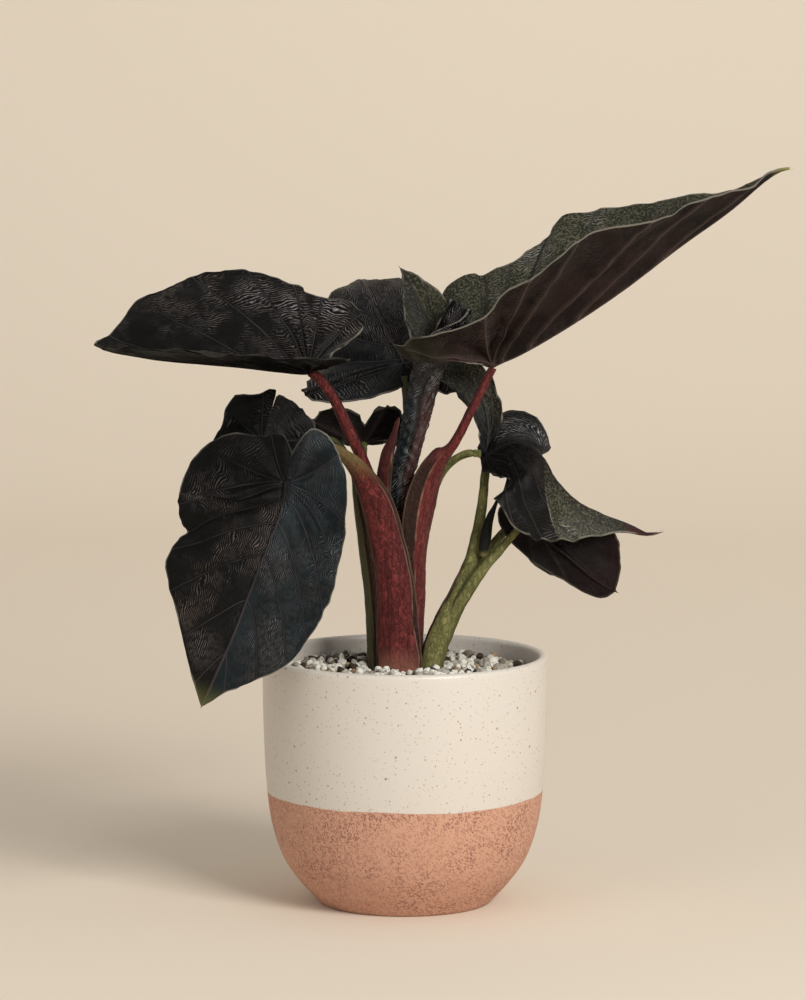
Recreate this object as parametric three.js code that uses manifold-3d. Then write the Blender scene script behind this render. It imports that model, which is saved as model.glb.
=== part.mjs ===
// Potted antoro velvet alocasia: a ceramic planter, potting soil under perlite,
// and two crowns of dark velvet leaves on sheathing stalks.
// Millimetres, +Z up. The viewer of the photograph stands on the -Y side.
// The origin is the middle of the planter's foot.

import * as THREE from "three";
import Module from "manifold-3d";

const wasm = await Module();
wasm.setup();

// Driving dimensions of the planter
const POT_HEIGHT = 131.6;
const RIM_RADIUS = 75;
const FOOT_RADIUS = 46;
const WALL = 4.6;
const FLOOR = 7;
const FOOT_CHAMFER = 1.5;
const LIP_STEPS = 6;
const POT_SEGMENTS = 32;

// Fill
const SOIL_TOP_AT_WALL = 119.5;
const SOIL_DOME = 3;
const GRAIN_SPACING = 8.4;
const GRAIN_HEIGHT = 4.8;
const GRAIN_TOP = 0.5;
const GRAIN_TILT = 1.2;
const VALLEY_HEIGHT = 1.6;
const CORNER_SHIFT = 0.3;
const GRAIN_SEED = 7;

// Plant
const BLADE_THICKNESS = 0.9;
const CLEARANCE = 0.35;
const BLADE_CLEARANCE = 0.53;
const STALK_SIDES = 8;
const SHEATH_SIDES = 12;
const GROOVE_RELIEF = 0.12;
const STALK_STEPS = 2;
const STALK_FOOT = 112;

// Grid of a blade between its midrib, at 0, and its margin, at 1
const BLADE_ROWS = [0, 0.22, 0.46, 0.7, 0.88, 1];
const MIDRIB_DIVISIONS = 240;
const ROOT_POWER = 1.1;
const CURL_REACH = 50;
const RIPPLE_REACH = 10;
const LEFT_PHASE = 0.6;
const RIGHT_PHASE = 2.4;

function material(name, color, roughness) {
  const made = new THREE.MeshStandardMaterial({ color, roughness, metalness: 0 });
  made.name = name;
  return made;
}

const MATERIALS = {
  ceramic: material("speckled_ceramic", 0xd9cdbd, 0.55),
  soil: material("potting_soil", 0x2b211b, 0.95),
  perlite: material("perlite", 0xd8d5cd, 0.9),
  redStalk: material("red_stalk", 0x6e2a2c, 0.5),
  greenStalk: material("green_stalk", 0x5a6237, 0.5),
  velvetLeaf: material("velvet_leaf", 0x1b1d22, 0.6),
  bract: material("red_bract", 0x4a2124, 0.55),
};

// Repeatable random numbers from 0 to 1
function seededRandom(seed) {
  let state = seed;
  return () => {
    state = (state * 1664525 + 1013904223) % 4294967296;
    return state / 4294967296;
  };
}

function vector(list) {
  return new THREE.Vector3(list[0], list[1], list[2]);
}

// A closed solid from corner points and triangles
function solidFrom(points, triangles) {
  const vertProperties = new Float32Array(points.flatMap((p) => [p.x, p.y, p.z]));
  const triVerts = new Uint32Array(triangles.flat());
  return new wasm.Manifold(new wasm.Mesh({ numProp: 3, vertProperties, triVerts }));
}

// The largest separate body of a solid
function largestBody(solid) {
  const bodies = solid.decompose();
  bodies.sort((one, other) => other.volume() - one.volume());
  return bodies[0];
}

function meshFrom(name, solid, surface) {
  const data = solid.getMesh();
  const geometry = new THREE.BufferGeometry();
  geometry.setAttribute("position", new THREE.BufferAttribute(data.vertProperties, 3));
  geometry.setIndex(new THREE.BufferAttribute(data.triVerts, 1));
  geometry.computeVertexNormals();
  const mesh = new THREE.Mesh(geometry, surface);
  mesh.name = name;
  return mesh;
}

// A solid turned around the Z axis from a profile of [radius, height] pairs
// that starts on the axis at the bottom and ends on it at the top.
function turned(profile, segments) {
  const points = [];
  const triangles = [];
  const rings = profile.map(([radius, height]) => {
    if (radius === 0) {
      points.push(new THREE.Vector3(0, 0, height));
      return [points.length - 1];
    }
    const ring = [];
    for (let i = 0; i < segments; i += 1) {
      const angle = (i / segments) * 2 * Math.PI;
      points.push(new THREE.Vector3(radius * Math.cos(angle), radius * Math.sin(angle), height));
      ring.push(points.length - 1);
    }
    return ring;
  });
  for (let k = 0; k + 1 < rings.length; k += 1) {
    for (let i = 0; i < segments; i += 1) {
      const next = (i + 1) % segments;
      const [lower, upper] = [rings[k], rings[k + 1]];
      if (lower.length > 1) triangles.push([lower[i], lower[next], upper[upper.length > 1 ? next : 0]]);
      if (upper.length > 1) triangles.push([lower[lower.length > 1 ? i : 0], upper[next], upper[i]]);
    }
  }
  return solidFrom(points, triangles);
}

// Planter

// The outer wall from the foot up to the rim
const OUTER_WALL = new THREE.SplineCurve([
  new THREE.Vector2(FOOT_RADIUS, FOOT_CHAMFER / 2),
  new THREE.Vector2(56.7, 12.8),
  new THREE.Vector2(64.2, 24),
  new THREE.Vector2(70.2, 42),
  new THREE.Vector2(73, 63),
  new THREE.Vector2(74.7, 100),
  new THREE.Vector2(RIM_RADIUS, POT_HEIGHT - WALL / 2),
]);

// The radius of the planter's hollow at a height: a little narrower towards the bottom,
// and rounded in below the shoulder
const HOLLOW_TAPER = 1.2;
const HOLLOW_SHOULDER = 62;

function hollowRadius(height) {
  const aboveFloor = Math.max(0, height - FLOOR);
  const below = Math.max(0, 1 - aboveFloor / HOLLOW_SHOULDER);
  const tall = RIM_RADIUS - WALL - HOLLOW_TAPER * (1 - aboveFloor / (POT_HEIGHT - FLOOR));
  return tall * Math.sqrt(1 - 0.6 * below ** 2.2);
}

function planter() {
  const outside = OUTER_WALL.getPoints(8).map((p) => [p.x, p.y]);
  const lip = [];
  const round = WALL / 2;
  for (let i = 1; i < LIP_STEPS; i += 1) {
    const angle = (i / LIP_STEPS) * Math.PI;
    lip.push([RIM_RADIUS - round + round * Math.cos(angle), POT_HEIGHT - round + round * Math.sin(angle)]);
  }
  const inside = [POT_HEIGHT - round, 100, 70, 50, 36, 24, 14, FLOOR + 1].map((height) => [
    hollowRadius(height),
    height,
  ]);
  const profile = [[0, 0], [FOOT_RADIUS - FOOT_CHAMFER, 0], ...outside, ...lip, ...inside, [0, FLOOR]];
  return turned(profile, POT_SEGMENTS);
}

// Soil and perlite

function soilHeight(radius) {
  return SOIL_TOP_AT_WALL + SOIL_DOME * Math.cos((radius / RIM_RADIUS) * (Math.PI / 2));
}

function soilBody() {
  const wallHeights = [FLOOR + 1.2, 15, 28, 50, 100];
  const side = wallHeights.map((height) => [hollowRadius(height) - CLEARANCE, height + CLEARANCE]);
  const edge = hollowRadius(SOIL_TOP_AT_WALL) - CLEARANCE;
  const top = [edge, edge * 0.66, edge * 0.33].map((radius) => [radius, soilHeight(radius)]);
  return turned([[0, FLOOR + CLEARANCE], ...side, ...top, [0, soilHeight(0)]], POT_SEGMENTS);
}

// The perlite: a layer of grains side by side. Each grain is a six sided cell with a raised
// and tilted three sided top, and neighbouring grains share the low corners between them.
function perliteRelief() {
  const random = seededRandom(GRAIN_SEED);
  const cell = GRAIN_SPACING / Math.sqrt(3);
  const rows = Math.ceil(RIM_RADIUS / (cell * 1.5)) + 1;
  const columns = Math.ceil(RIM_RADIUS / GRAIN_SPACING) + 1;
  const corners = new Map();
  const cornerAt = (x, y) => {
    const key = `${Math.round(x * 10)},${Math.round(y * 10)}`;
    if (!corners.has(key)) {
      const shift = () => (random() - 0.5) * GRAIN_SPACING * CORNER_SHIFT;
      const height = soilHeight(Math.hypot(x, y)) + VALLEY_HEIGHT * (0.7 + 0.6 * random());
      corners.set(key, new THREE.Vector3(x + shift(), y + shift(), height));
    }
    return corners.get(key);
  };
  const faces = [];
  for (let row = -rows; row <= rows; row += 1) {
    for (let column = -columns; column <= columns; column += 1) {
      const x = (column + (Math.abs(row) % 2) / 2) * GRAIN_SPACING;
      const y = row * cell * 1.5;
      const ring = [];
      for (let i = 0; i < 6; i += 1) {
        const angle = ((i + 0.5) / 6) * 2 * Math.PI;
        ring.push(cornerAt(x + cell * Math.cos(angle), y + cell * Math.sin(angle)));
      }
      const height = soilHeight(Math.hypot(x, y)) + GRAIN_HEIGHT * (0.6 + 0.6 * random());
      const turn = random() * 0.8;
      const top = [];
      for (let i = 0; i < 3; i += 1) {
        const angle = ((2 * i + 1) / 6) * 2 * Math.PI + turn;
        const reach = cell * GRAIN_TOP * (0.8 + 0.4 * random());
        const lift = (random() - 0.5) * GRAIN_TILT;
        top.push(new THREE.Vector3(x + reach * Math.cos(angle), y + reach * Math.sin(angle), height + lift));
      }
      faces.push([top[0], top[1], top[2]]);
      for (let i = 0; i < 3; i += 1) {
        const next = (i + 1) % 3;
        const [a, b, c] = [ring[2 * i], ring[2 * i + 1], ring[(2 * i + 2) % 6]];
        faces.push([a, b, top[i]], [b, c, top[i]], [c, top[next], top[i]]);
      }
    }
  }
  return faces;
}

// The relief closed to a point far below it, so that it is a solid
function perliteLayer() {
  const { points, triangles } = weld(perliteRelief());
  const edges = new Set(triangles.flatMap(([a, b, c]) => [`${a},${b}`, `${b},${c}`, `${c},${a}`]));
  const below = points.length;
  points.push(new THREE.Vector3(0, 0, -2 * POT_HEIGHT));
  for (const edge of [...edges]) {
    const [from, to] = edge.split(",");
    if (!edges.has(`${to},${from}`)) triangles.push([Number(to), Number(from), below]);
  }
  const edge = hollowRadius(SOIL_TOP_AT_WALL) - CLEARANCE;
  const rings = [0.33, 0.66, 1].map((share) => edge * share);
  const lower = rings.map((radius) => [radius, soilHeight(radius) + CLEARANCE]);
  const bound = turned(
    [[0, soilHeight(0) + CLEARANCE], ...lower, [edge, POT_HEIGHT], [0, POT_HEIGHT]],
    POT_SEGMENTS,
  );
  return solidFrom(points, triangles).intersect(bound);
}

// Stalks

// A closed stalk through stations of [x, y, z, width, depth]. The depth is measured along
// the outward direction. A groove above 0.5 hollows the inner side, as in a sheath.
function stalkSolid(stalk, extra = 0) {
  const outward = vector(stalk.outward);
  const path = new THREE.CatmullRomCurve3(stalk.stations.map(vector), false, "centripetal");
  const sizes = stalk.stations.map((station) => [station[3], station[4]]);
  const steps = (stalk.stations.length - 1) * STALK_STEPS;
  const groove = stalk.groove ? stalk.groove - (extra > 0 ? GROOVE_RELIEF : 0) : 0;
  const sides = groove > 0 ? SHEATH_SIDES : STALK_SIDES;
  const points = [];
  const triangles = [];
  for (let k = 0; k <= steps; k += 1) {
    const along = k / steps;
    const place = along * (sizes.length - 1);
    const before = Math.min(Math.floor(place), sizes.length - 2);
    const share = place - before;
    const width = THREE.MathUtils.lerp(sizes[before][0], sizes[before + 1][0], share) + 2 * extra;
    const depth = THREE.MathUtils.lerp(sizes[before][1], sizes[before + 1][1], share) + 2 * extra;
    const centre = path.getPoint(along);
    const forward = path.getTangent(along);
    const side = new THREE.Vector3().crossVectors(forward, outward).normalize();
    const front = new THREE.Vector3().crossVectors(side, forward).normalize();
    for (let i = 0; i < sides; i += 1) {
      const angle = ((i + 0.5) / sides) * 2 * Math.PI;
      const sine = Math.sin(angle);
      const inner = sine < 0 ? 1 - 2 * groove * (1 - (2 * extra) / depth) : 1;
      points.push(
        centre
          .clone()
          .addScaledVector(side, (width / 2) * Math.cos(angle))
          .addScaledVector(front, (depth / 2) * sine * inner),
      );
    }
  }
  for (let k = 0; k < steps; k += 1) {
    for (let i = 0; i < sides; i += 1) {
      const next = (i + 1) % sides;
      const [a, b] = [k * sides + i, k * sides + next];
      const [c, d] = [a + sides, b + sides];
      triangles.push([a, d, b], [a, c, d]);
    }
  }
  const last = steps * sides;
  for (let i = 1; i < sides - 1; i += 1) {
    triangles.push([0, i, i + 1], [last, last + i + 1, last + i]);
  }
  return solidFrom(points, triangles);
}

// Blades

// The same corner points are used once, so that neighbouring triangles share them.
function weld(faces) {
  const points = [];
  const numbers = new Map();
  const triangles = [];
  for (const face of faces) {
    const corners = face.map((point) => {
      const key = point.toArray().map((value) => Math.round(value * 1000)).join();
      if (!numbers.has(key)) {
        numbers.set(key, points.length);
        points.push(point);
      }
      return numbers.get(key);
    });
    if (new Set(corners).size === 3) triangles.push(corners);
  }
  return { points, triangles };
}

// A sheet made solid: the same triangles on both faces, joined around the open edges
function thicken({ points, triangles }, thickness) {
  const normals = points.map(() => new THREE.Vector3());
  for (const [a, b, c] of triangles) {
    const normal = new THREE.Vector3().crossVectors(
      points[b].clone().sub(points[a]),
      points[c].clone().sub(points[a]),
    );
    for (const corner of [a, b, c]) normals[corner].add(normal);
  }
  normals.forEach((normal) => normal.normalize());
  const count = points.length;
  const upper = points.map((point, i) => point.clone().addScaledVector(normals[i], thickness / 2));
  const lower = points.map((point, i) => point.clone().addScaledVector(normals[i], -thickness / 2));
  const faces = [];
  const edges = new Set();
  for (const [a, b, c] of triangles) {
    faces.push([a, b, c], [a + count, c + count, b + count]);
    for (const [from, to] of [[a, b], [b, c], [c, a]]) edges.add(`${from},${to}`);
  }
  for (const edge of edges) {
    const [from, to] = edge.split(",").map(Number);
    if (!edges.has(`${to},${from}`)) {
      faces.push([from, to + count, to], [from, from + count, to + count]);
    }
  }
  return solidFrom([...upper, ...lower], faces);
}

// A value read from stations of [place, value, ...], eased between them
function between(stations, place) {
  if (place <= stations[0][0]) return stations[0].slice(1);
  for (let k = 1; k < stations.length; k += 1) {
    if (place <= stations[k][0]) {
      const [from, to] = [stations[k - 1], stations[k]];
      const share = THREE.MathUtils.smoothstep(place, from[0], to[0]);
      return from.slice(1).map((value, i) => value + (to[i + 1] - value) * share);
    }
  }
  return stations[stations.length - 1].slice(1);
}

// The midrib as a function of the distance from the stalk: behind it for the lobes
function midribOf(blade) {
  const path = new THREE.CatmullRomCurve3(blade.midrib.map(vector), false, "centripetal");
  path.arcLengthDivisions = MIDRIB_DIVISIONS;
  const lengths = path.getLengths();
  const share = blade.junction / (blade.midrib.length - 1);
  const whole = lengths[lengths.length - 1];
  const behind = lengths[Math.round(share * MIDRIB_DIVISIONS)];
  return {
    length: whole - behind,
    at(distance) {
      const along = THREE.MathUtils.clamp((distance + behind) / whole, 0, 1);
      return { point: path.getPointAt(along), forward: path.getTangentAt(along) };
    },
  };
}

// A point of the flat leaf, at a distance a along the midrib and b from it, put in space.
// The half leaves its midrib in its own direction and curls towards the underside.
function placed(midrib, half, isLeft, a, b) {
  const { point, forward } = midrib.at(a);
  const [x, y, z, curl] = between(half, a);
  const aside = new THREE.Vector3(x, y, z);
  aside.addScaledVector(forward, -aside.dot(forward)).normalize();
  const normal = new THREE.Vector3();
  if (isLeft) normal.crossVectors(forward, aside);
  else normal.crossVectors(aside, forward);
  const bend = THREE.MathUtils.degToRad(curl) / CURL_REACH;
  const angle = bend * b;
  const out = curl === 0 ? b : Math.sin(angle) / bend;
  const down = curl === 0 ? 0 : (1 - Math.cos(angle)) / bend;
  point.addScaledVector(aside, out).addScaledVector(normal, -down);
  normal.multiplyScalar(Math.cos(angle)).addScaledVector(aside, Math.sin(angle));
  return { point, normal };
}

// One half as a grid of points, by outline point and by row from midrib to margin
function halfGrid(blade, midrib, outline, half, isLeft) {
  const last = outline.length - 1;
  return outline.map(([marginA, marginB], k) => {
    const share = Math.max(0, (k - blade.fan) / (last - blade.fan));
    const root = midrib.length * share ** ROOT_POWER;
    return BLADE_ROWS.map((row) => {
      const a = root + (Math.min(marginA, midrib.length) - root) * row;
      const b = marginB * row;
      const { point, normal } = placed(midrib, half, isLeft, a, b);
      const turn = (k / last) * 2 * Math.PI * blade.waves + (isLeft ? LEFT_PHASE : RIGHT_PHASE);
      const fade = Math.min(1, marginB / RIPPLE_REACH) * row ** 3;
      return point.addScaledVector(normal, Math.sin(turn) * blade.ripple * fade);
    });
  });
}

function bladeSheet(blade) {
  const midrib = midribOf(blade);
  const faces = [];
  for (const isLeft of [true, false]) {
    const outline = isLeft ? blade.leftOutline : blade.rightOutline;
    const half = isLeft ? blade.leftHalf : blade.rightHalf;
    const grid = halfGrid(blade, midrib, outline, half, isLeft);
    for (let k = 0; k + 1 < grid.length; k += 1) {
      for (let row = 0; row + 1 < BLADE_ROWS.length; row += 1) {
        const [a, b] = [grid[k][row], grid[k + 1][row]];
        const [c, d] = [grid[k][row + 1], grid[k + 1][row + 1]];
        if (isLeft) faces.push([a, b, d], [a, d, c]);
        else faces.push([a, d, b], [a, c, d]);
      }
    }
  }
  return weld(faces);
}

// Leaves of the main crown and of the offset. A midrib runs from behind the stalk's end, under
// the lobes, to the tip, and junction is the number of the point where the stalk meets it.
// A half holds stations of [distance, direction x, y, z, curl in degrees over 50 mm].
// An outline holds points of [distance along the midrib, distance from it], from the notch
// between the lobes round to the tip. Its first points, up to fan, hang on the stalk's end.
const LEAVES = [
  {
    name: "front_left_leaf",
    midrib: [[-54, -54, 262], [-61, -60, 229], [-63, -68, 216], [-71, -76, 195], [-79, -80, 175],
      [-87, -82, 154], [-96, -82, 134], [-104.5, -80, 115]],
    junction: 1,
    fan: 6,
    waves: 4,
    ripple: 1.2,
    leftHalf: [[-30, 0.9, 0.3, -0.2, 30], [0, 0.9, 0.2, -0.3, 30], [60, 0.87, 0.3, -0.35, 30],
      [110, 0.8, 0.4, -0.3, 20]],
    rightHalf: [[-30, -0.9, 0.2, 0.2, 20], [0, -0.9, 0.2, 0.3, 20], [60, -0.87, 0.2, 0.35, 20],
      [110, -0.9, 0.2, 0.3, 20]],
    leftOutline: [[-16, 0], [-24, 4], [-31, 9], [-28, 18], [-18, 27], [-4, 34], [12, 39], [29, 42],
      [44, 45], [57, 47], [70, 45], [82, 40], [93, 32], [104, 22], [115, 9], [125, 0]],
    rightOutline: [[-16, 0], [-22, 10], [-20, 21], [-15, 33], [-9, 43], [0, 51], [13, 56], [27, 55],
      [38, 50], [43, 45], [49, 47], [63, 47], [81, 37], [99, 23], [116, 8], [125, 0]],
  },
  {
    name: "upper_left_leaf",
    midrib: [[-18, -17, 288], [-50, -19, 283], [-65, -19, 284], [-86, -18, 286], [-106, -15, 287],
      [-127, -11, 288], [-143, -7, 290], [-155, -4, 292], [-162, -2, 295]],
    junction: 1,
    fan: 6,
    waves: 3,
    ripple: 1,
    leftHalf: [[-30, 0, -0.98, 0.18, 0], [120, 0, -0.98, 0.18, 0]],
    rightHalf: [[-30, 0, 0.5, 0.86, 20], [60, 0, 0.5, 0.86, 20], [110, 0, 0.6, 0.8, 10]],
    leftOutline: [[-10, 0], [-13, 8], [-18, 15], [-21, 25], [-18, 36], [-11, 44], [0, 50], [14, 53],
      [30, 53], [46, 50], [61, 44], [76, 36], [91, 26], [103, 13], [109, 3], [117, 0]],
    rightOutline: [[-10, 0], [-14, 8], [-24, 13], [-34, 22], [-31, 33], [-19, 42], [-3, 50], [14, 57],
      [30, 60], [46, 60], [61, 57], [78, 51], [94, 41], [107, 26], [111, 8], [117, 0]],
  },
  {
    name: "upper_right_leaf",
    midrib: [[14, -2, 264], [45, -2, 285], [60, -2, 292], [86, -2, 307], [112, -2, 324], [143, -2, 347],
      [169, 0, 365], [187, 2, 380], [195, 4, 385], [203, 6, 387]],
    junction: 1,
    fan: 6,
    waves: 6,
    ripple: 2,
    leftHalf: [[-30, -0.37, 0.755, 0.545, 0], [90, -0.37, 0.755, 0.545, 0], [180, -0.3, 0.8, 0.5, 0]],
    rightHalf: [[-42, -0.6, -0.2, 0.77, 0], [-30, -0.4, -0.7, 0.6, 0], [-18, -0.345, -0.79, 0.51, 0],
      [90, -0.345, -0.79, 0.51, 0], [180, -0.3, -0.9, 0.2, 0]],
    leftOutline: [[-3, 0], [-4, 12], [-6, 27], [-9, 42], [-9, 55], [-1, 63], [10, 64], [22, 61],
      [38, 57], [53, 61], [72, 65], [95, 54], [118, 38], [141, 20], [165, 7], [187, 0]],
    rightOutline: [[-3, 0], [-8, 12], [-19, 27], [-29, 35], [-31, 44], [-16, 48], [3, 44], [24, 50],
      [45, 54], [66, 58], [89, 51], [115, 36], [137, 26], [156, 15], [172, 6], [187, 0]],
  },
  {
    name: "back_leaf",
    midrib: [[2, 14, 262], [-1, 22, 283], [-6, 30, 292], [-12, 38, 302], [-18, 50, 314], [-22, 66, 322],
      [-26, 86, 322], [-30, 108, 314]],
    junction: 1,
    fan: 6,
    waves: 5,
    ripple: 1.2,
    leftHalf: [[-20, -0.98, 0, -0.15, 0], [10, -0.98, 0, -0.15, 0], [40, -0.86, 0.1, -0.5, 20],
      [100, -0.86, 0.1, -0.5, 20]],
    rightHalf: [[-20, 0.9, 0.4, -0.1, 0], [40, 0.9, 0.3, 0, 10], [100, 0.98, 0, 0, 20]],
    leftOutline: [[-2, 0], [-9, 4.8], [-16, 8], [-17, 28], [-15, 51], [-6, 55], [4, 54], [15, 49],
      [27, 43], [39, 37], [51, 31], [64, 26], [77, 19], [88, 12], [98, 5], [106, 0]],
    rightOutline: [[-2, 0], [-9, 4.8], [-16, 9], [-17, 24], [-11, 36], [-1, 41], [8, 43], [18, 43],
      [29, 41], [40, 38], [52, 33], [64, 27], [76, 20], [88, 12], [98, 5], [106, 0]],
  },
  {
    name: "back_left_leaf",
    midrib: [[-66, -12, 272], [-74, -20, 247], [-78, -32, 232], [-82, -42, 213], [-87, -46, 193],
      [-90, -44, 171], [-93, -36, 152]],
    junction: 1,
    fan: 4,
    waves: 4,
    ripple: 1,
    leftHalf: [[-25, 0.95, 0.2, -0.1, 10], [100, 0.95, 0.3, -0.1, 20]],
    rightHalf: [[-25, -0.95, 0.3, 0.1, 10], [100, -0.95, 0.3, 0.1, 20]],
    leftOutline: [[-12, 0], [-25, 2], [-25, 14], [-17, 25], [-2, 32], [16, 33], [34, 32], [52, 28],
      [67, 22], [81, 14], [94, 5], [104, 0]],
    rightOutline: [[-12, 0], [-19, 4], [-23, 15], [-18, 24], [-3, 25], [18, 26], [36, 26], [52, 23],
      [67, 18], [81, 12], [94, 5], [104, 0]],
  },
  {
    name: "drooping_leaf",
    midrib: [[-20, 21, 262], [-22, 26, 241], [-21, 36, 240], [-20, 56, 241], [-19, 76, 238], [-17, 98, 232]],
    junction: 1,
    fan: 4,
    waves: 4,
    ripple: 1,
    leftHalf: [[-20, -1, 0, 0, 0], [80, -1, 0, 0, 20]],
    rightHalf: [[-20, 1, 0, 0, 0], [80, 1, 0, 0, 20]],
    leftOutline: [[-10, 0], [-16, 6], [-17, 17], [-12, 26], [0, 30], [15, 32], [29, 31], [42, 27],
      [53, 20], [63, 11], [70, 4], [75, 0]],
    rightOutline: [[-10, 0], [-20, 6], [-22, 14], [-13, 21], [0, 25], [15, 29], [29, 29], [42, 26],
      [53, 19], [63, 11], [70, 4], [75, 0]],
  },
  {
    name: "right_leaf",
    midrib: [[40, 14, 238], [43, 8, 236], [56, 1, 243], [70, -6, 238], [79, -4, 224], [90, 3, 212],
      [104, 10, 204], [119, 14, 198], [129, 16, 193], [137, 16, 195]],
    junction: 1,
    fan: 4,
    waves: 3,
    ripple: 0.8,
    leftHalf: [[-6, 0.2, 0.86, 0.45, 0], [10, 0.1, 0.86, 0.5, 0], [28, 0, 0.98, 0.12, 0],
      [46, -0.5, 0.85, 0, 0], [66, -0.5, 0.85, 0, 0], [80, -0.3, 0.95, 0, 0], [120, -0.3, 0.95, 0, 0]],
    rightHalf: [[-6, -0.2, -0.3, -0.93, 0], [20, -0.2, -0.3, -0.93, 0], [45, -0.5, -0.42, -0.75, 0],
      [66, -0.5, -0.42, -0.75, 0], [82, -0.5, -0.7, -0.4, 0], [120, -0.3, -0.9, -0.3, 0]],
    leftOutline: [[-3, 0], [-4, 8], [-4, 17], [-4, 25], [-1, 31], [8, 30], [20, 23], [42, 26],
      [66, 23], [86, 14], [102, 5], [118, 0]],
    rightOutline: [[-3, 0], [-2, 5], [2, 12], [9, 20], [23, 28], [38, 36], [50, 36], [60, 31],
      [72, 21], [86, 13], [103, 6], [118, 0]],
  },
  {
    name: "offset_upright_leaf",
    midrib: [[44, 17, 226], [43, 17, 235], [44, 17, 248], [42, 18, 261], [35, 20, 275], [24, 22, 288],
      [14, 22, 303], [7, 21, 317], [1, 21, 329], [-4, 19, 335]],
    junction: 1,
    fan: 4,
    waves: 4,
    ripple: 1,
    leftHalf: [[-10, -0.85, -0.3, 0, 0], [110, -0.85, -0.3, -0.2, 0]],
    rightHalf: [[-10, 0.85, -0.2, 0.1, 0], [110, 0.85, -0.2, 0.1, 0]],
    leftOutline: [[-3, 0], [-3, 2], [0, 4], [6, 5], [14, 6], [26, 8], [42, 12], [58, 14],
      [74, 14], [90, 11], [103, 5], [112, 0]],
    rightOutline: [[-3, 0], [-3, 1.5], [-1, 3], [4, 4], [14, 7], [26, 9], [42, 9], [58, 9],
      [74, 10], [90, 13], [103, 6], [112, 0]],
  },
  {
    name: "offset_low_leaf",
    midrib: [[52, 1, 214], [64, 3, 202], [75, 8, 191], [87, 10, 179], [99, 10, 168], [110, 8, 161]],
    junction: 1,
    fan: 3,
    waves: 3,
    ripple: 0.7,
    leftHalf: [[-10, -0.7, 0, -0.7, 0], [60, -0.7, 0, -0.7, 10]],
    rightHalf: [[-10, 0.7, 0.1, 0.7, 0], [60, 0.7, 0.1, 0.7, 10]],
    leftOutline: [[-8, 0], [-15, 5], [-10, 11], [2, 14], [14, 14], [26, 13], [38, 11], [49, 8],
      [57, 4], [63, 0]],
    rightOutline: [[-8, 0], [-14, 6], [-9, 14], [2, 20], [14, 24], [26, 26], [38, 26], [49, 20],
      [58, 9], [63, 0]],
  },
  {
    name: "offset_hidden_leaf",
    midrib: [[59, 12, 213], [63, 16, 203], [67, 22, 189], [74, 24, 177], [83, 22, 168]],
    junction: 1,
    fan: 3,
    waves: 2,
    ripple: 0.5,
    leftHalf: [[-8, -0.9, 0, -0.3, 0], [40, -0.8, 0, -0.5, 0]],
    rightHalf: [[-8, 0.9, 0.2, 0.3, 0], [40, 0.8, 0.2, 0.5, 0]],
    leftOutline: [[-4, 0], [-9, 3], [-6, 7], [1, 9], [9, 9], [17, 8], [25, 6], [32, 4], [37, 2],
      [41, 0]],
    rightOutline: [[-4, 0], [-9, 4], [-6, 9], [1, 12], [9, 13], [17, 12], [25, 9], [32, 6], [37, 2],
      [41, 0]],
  },
];

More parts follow.
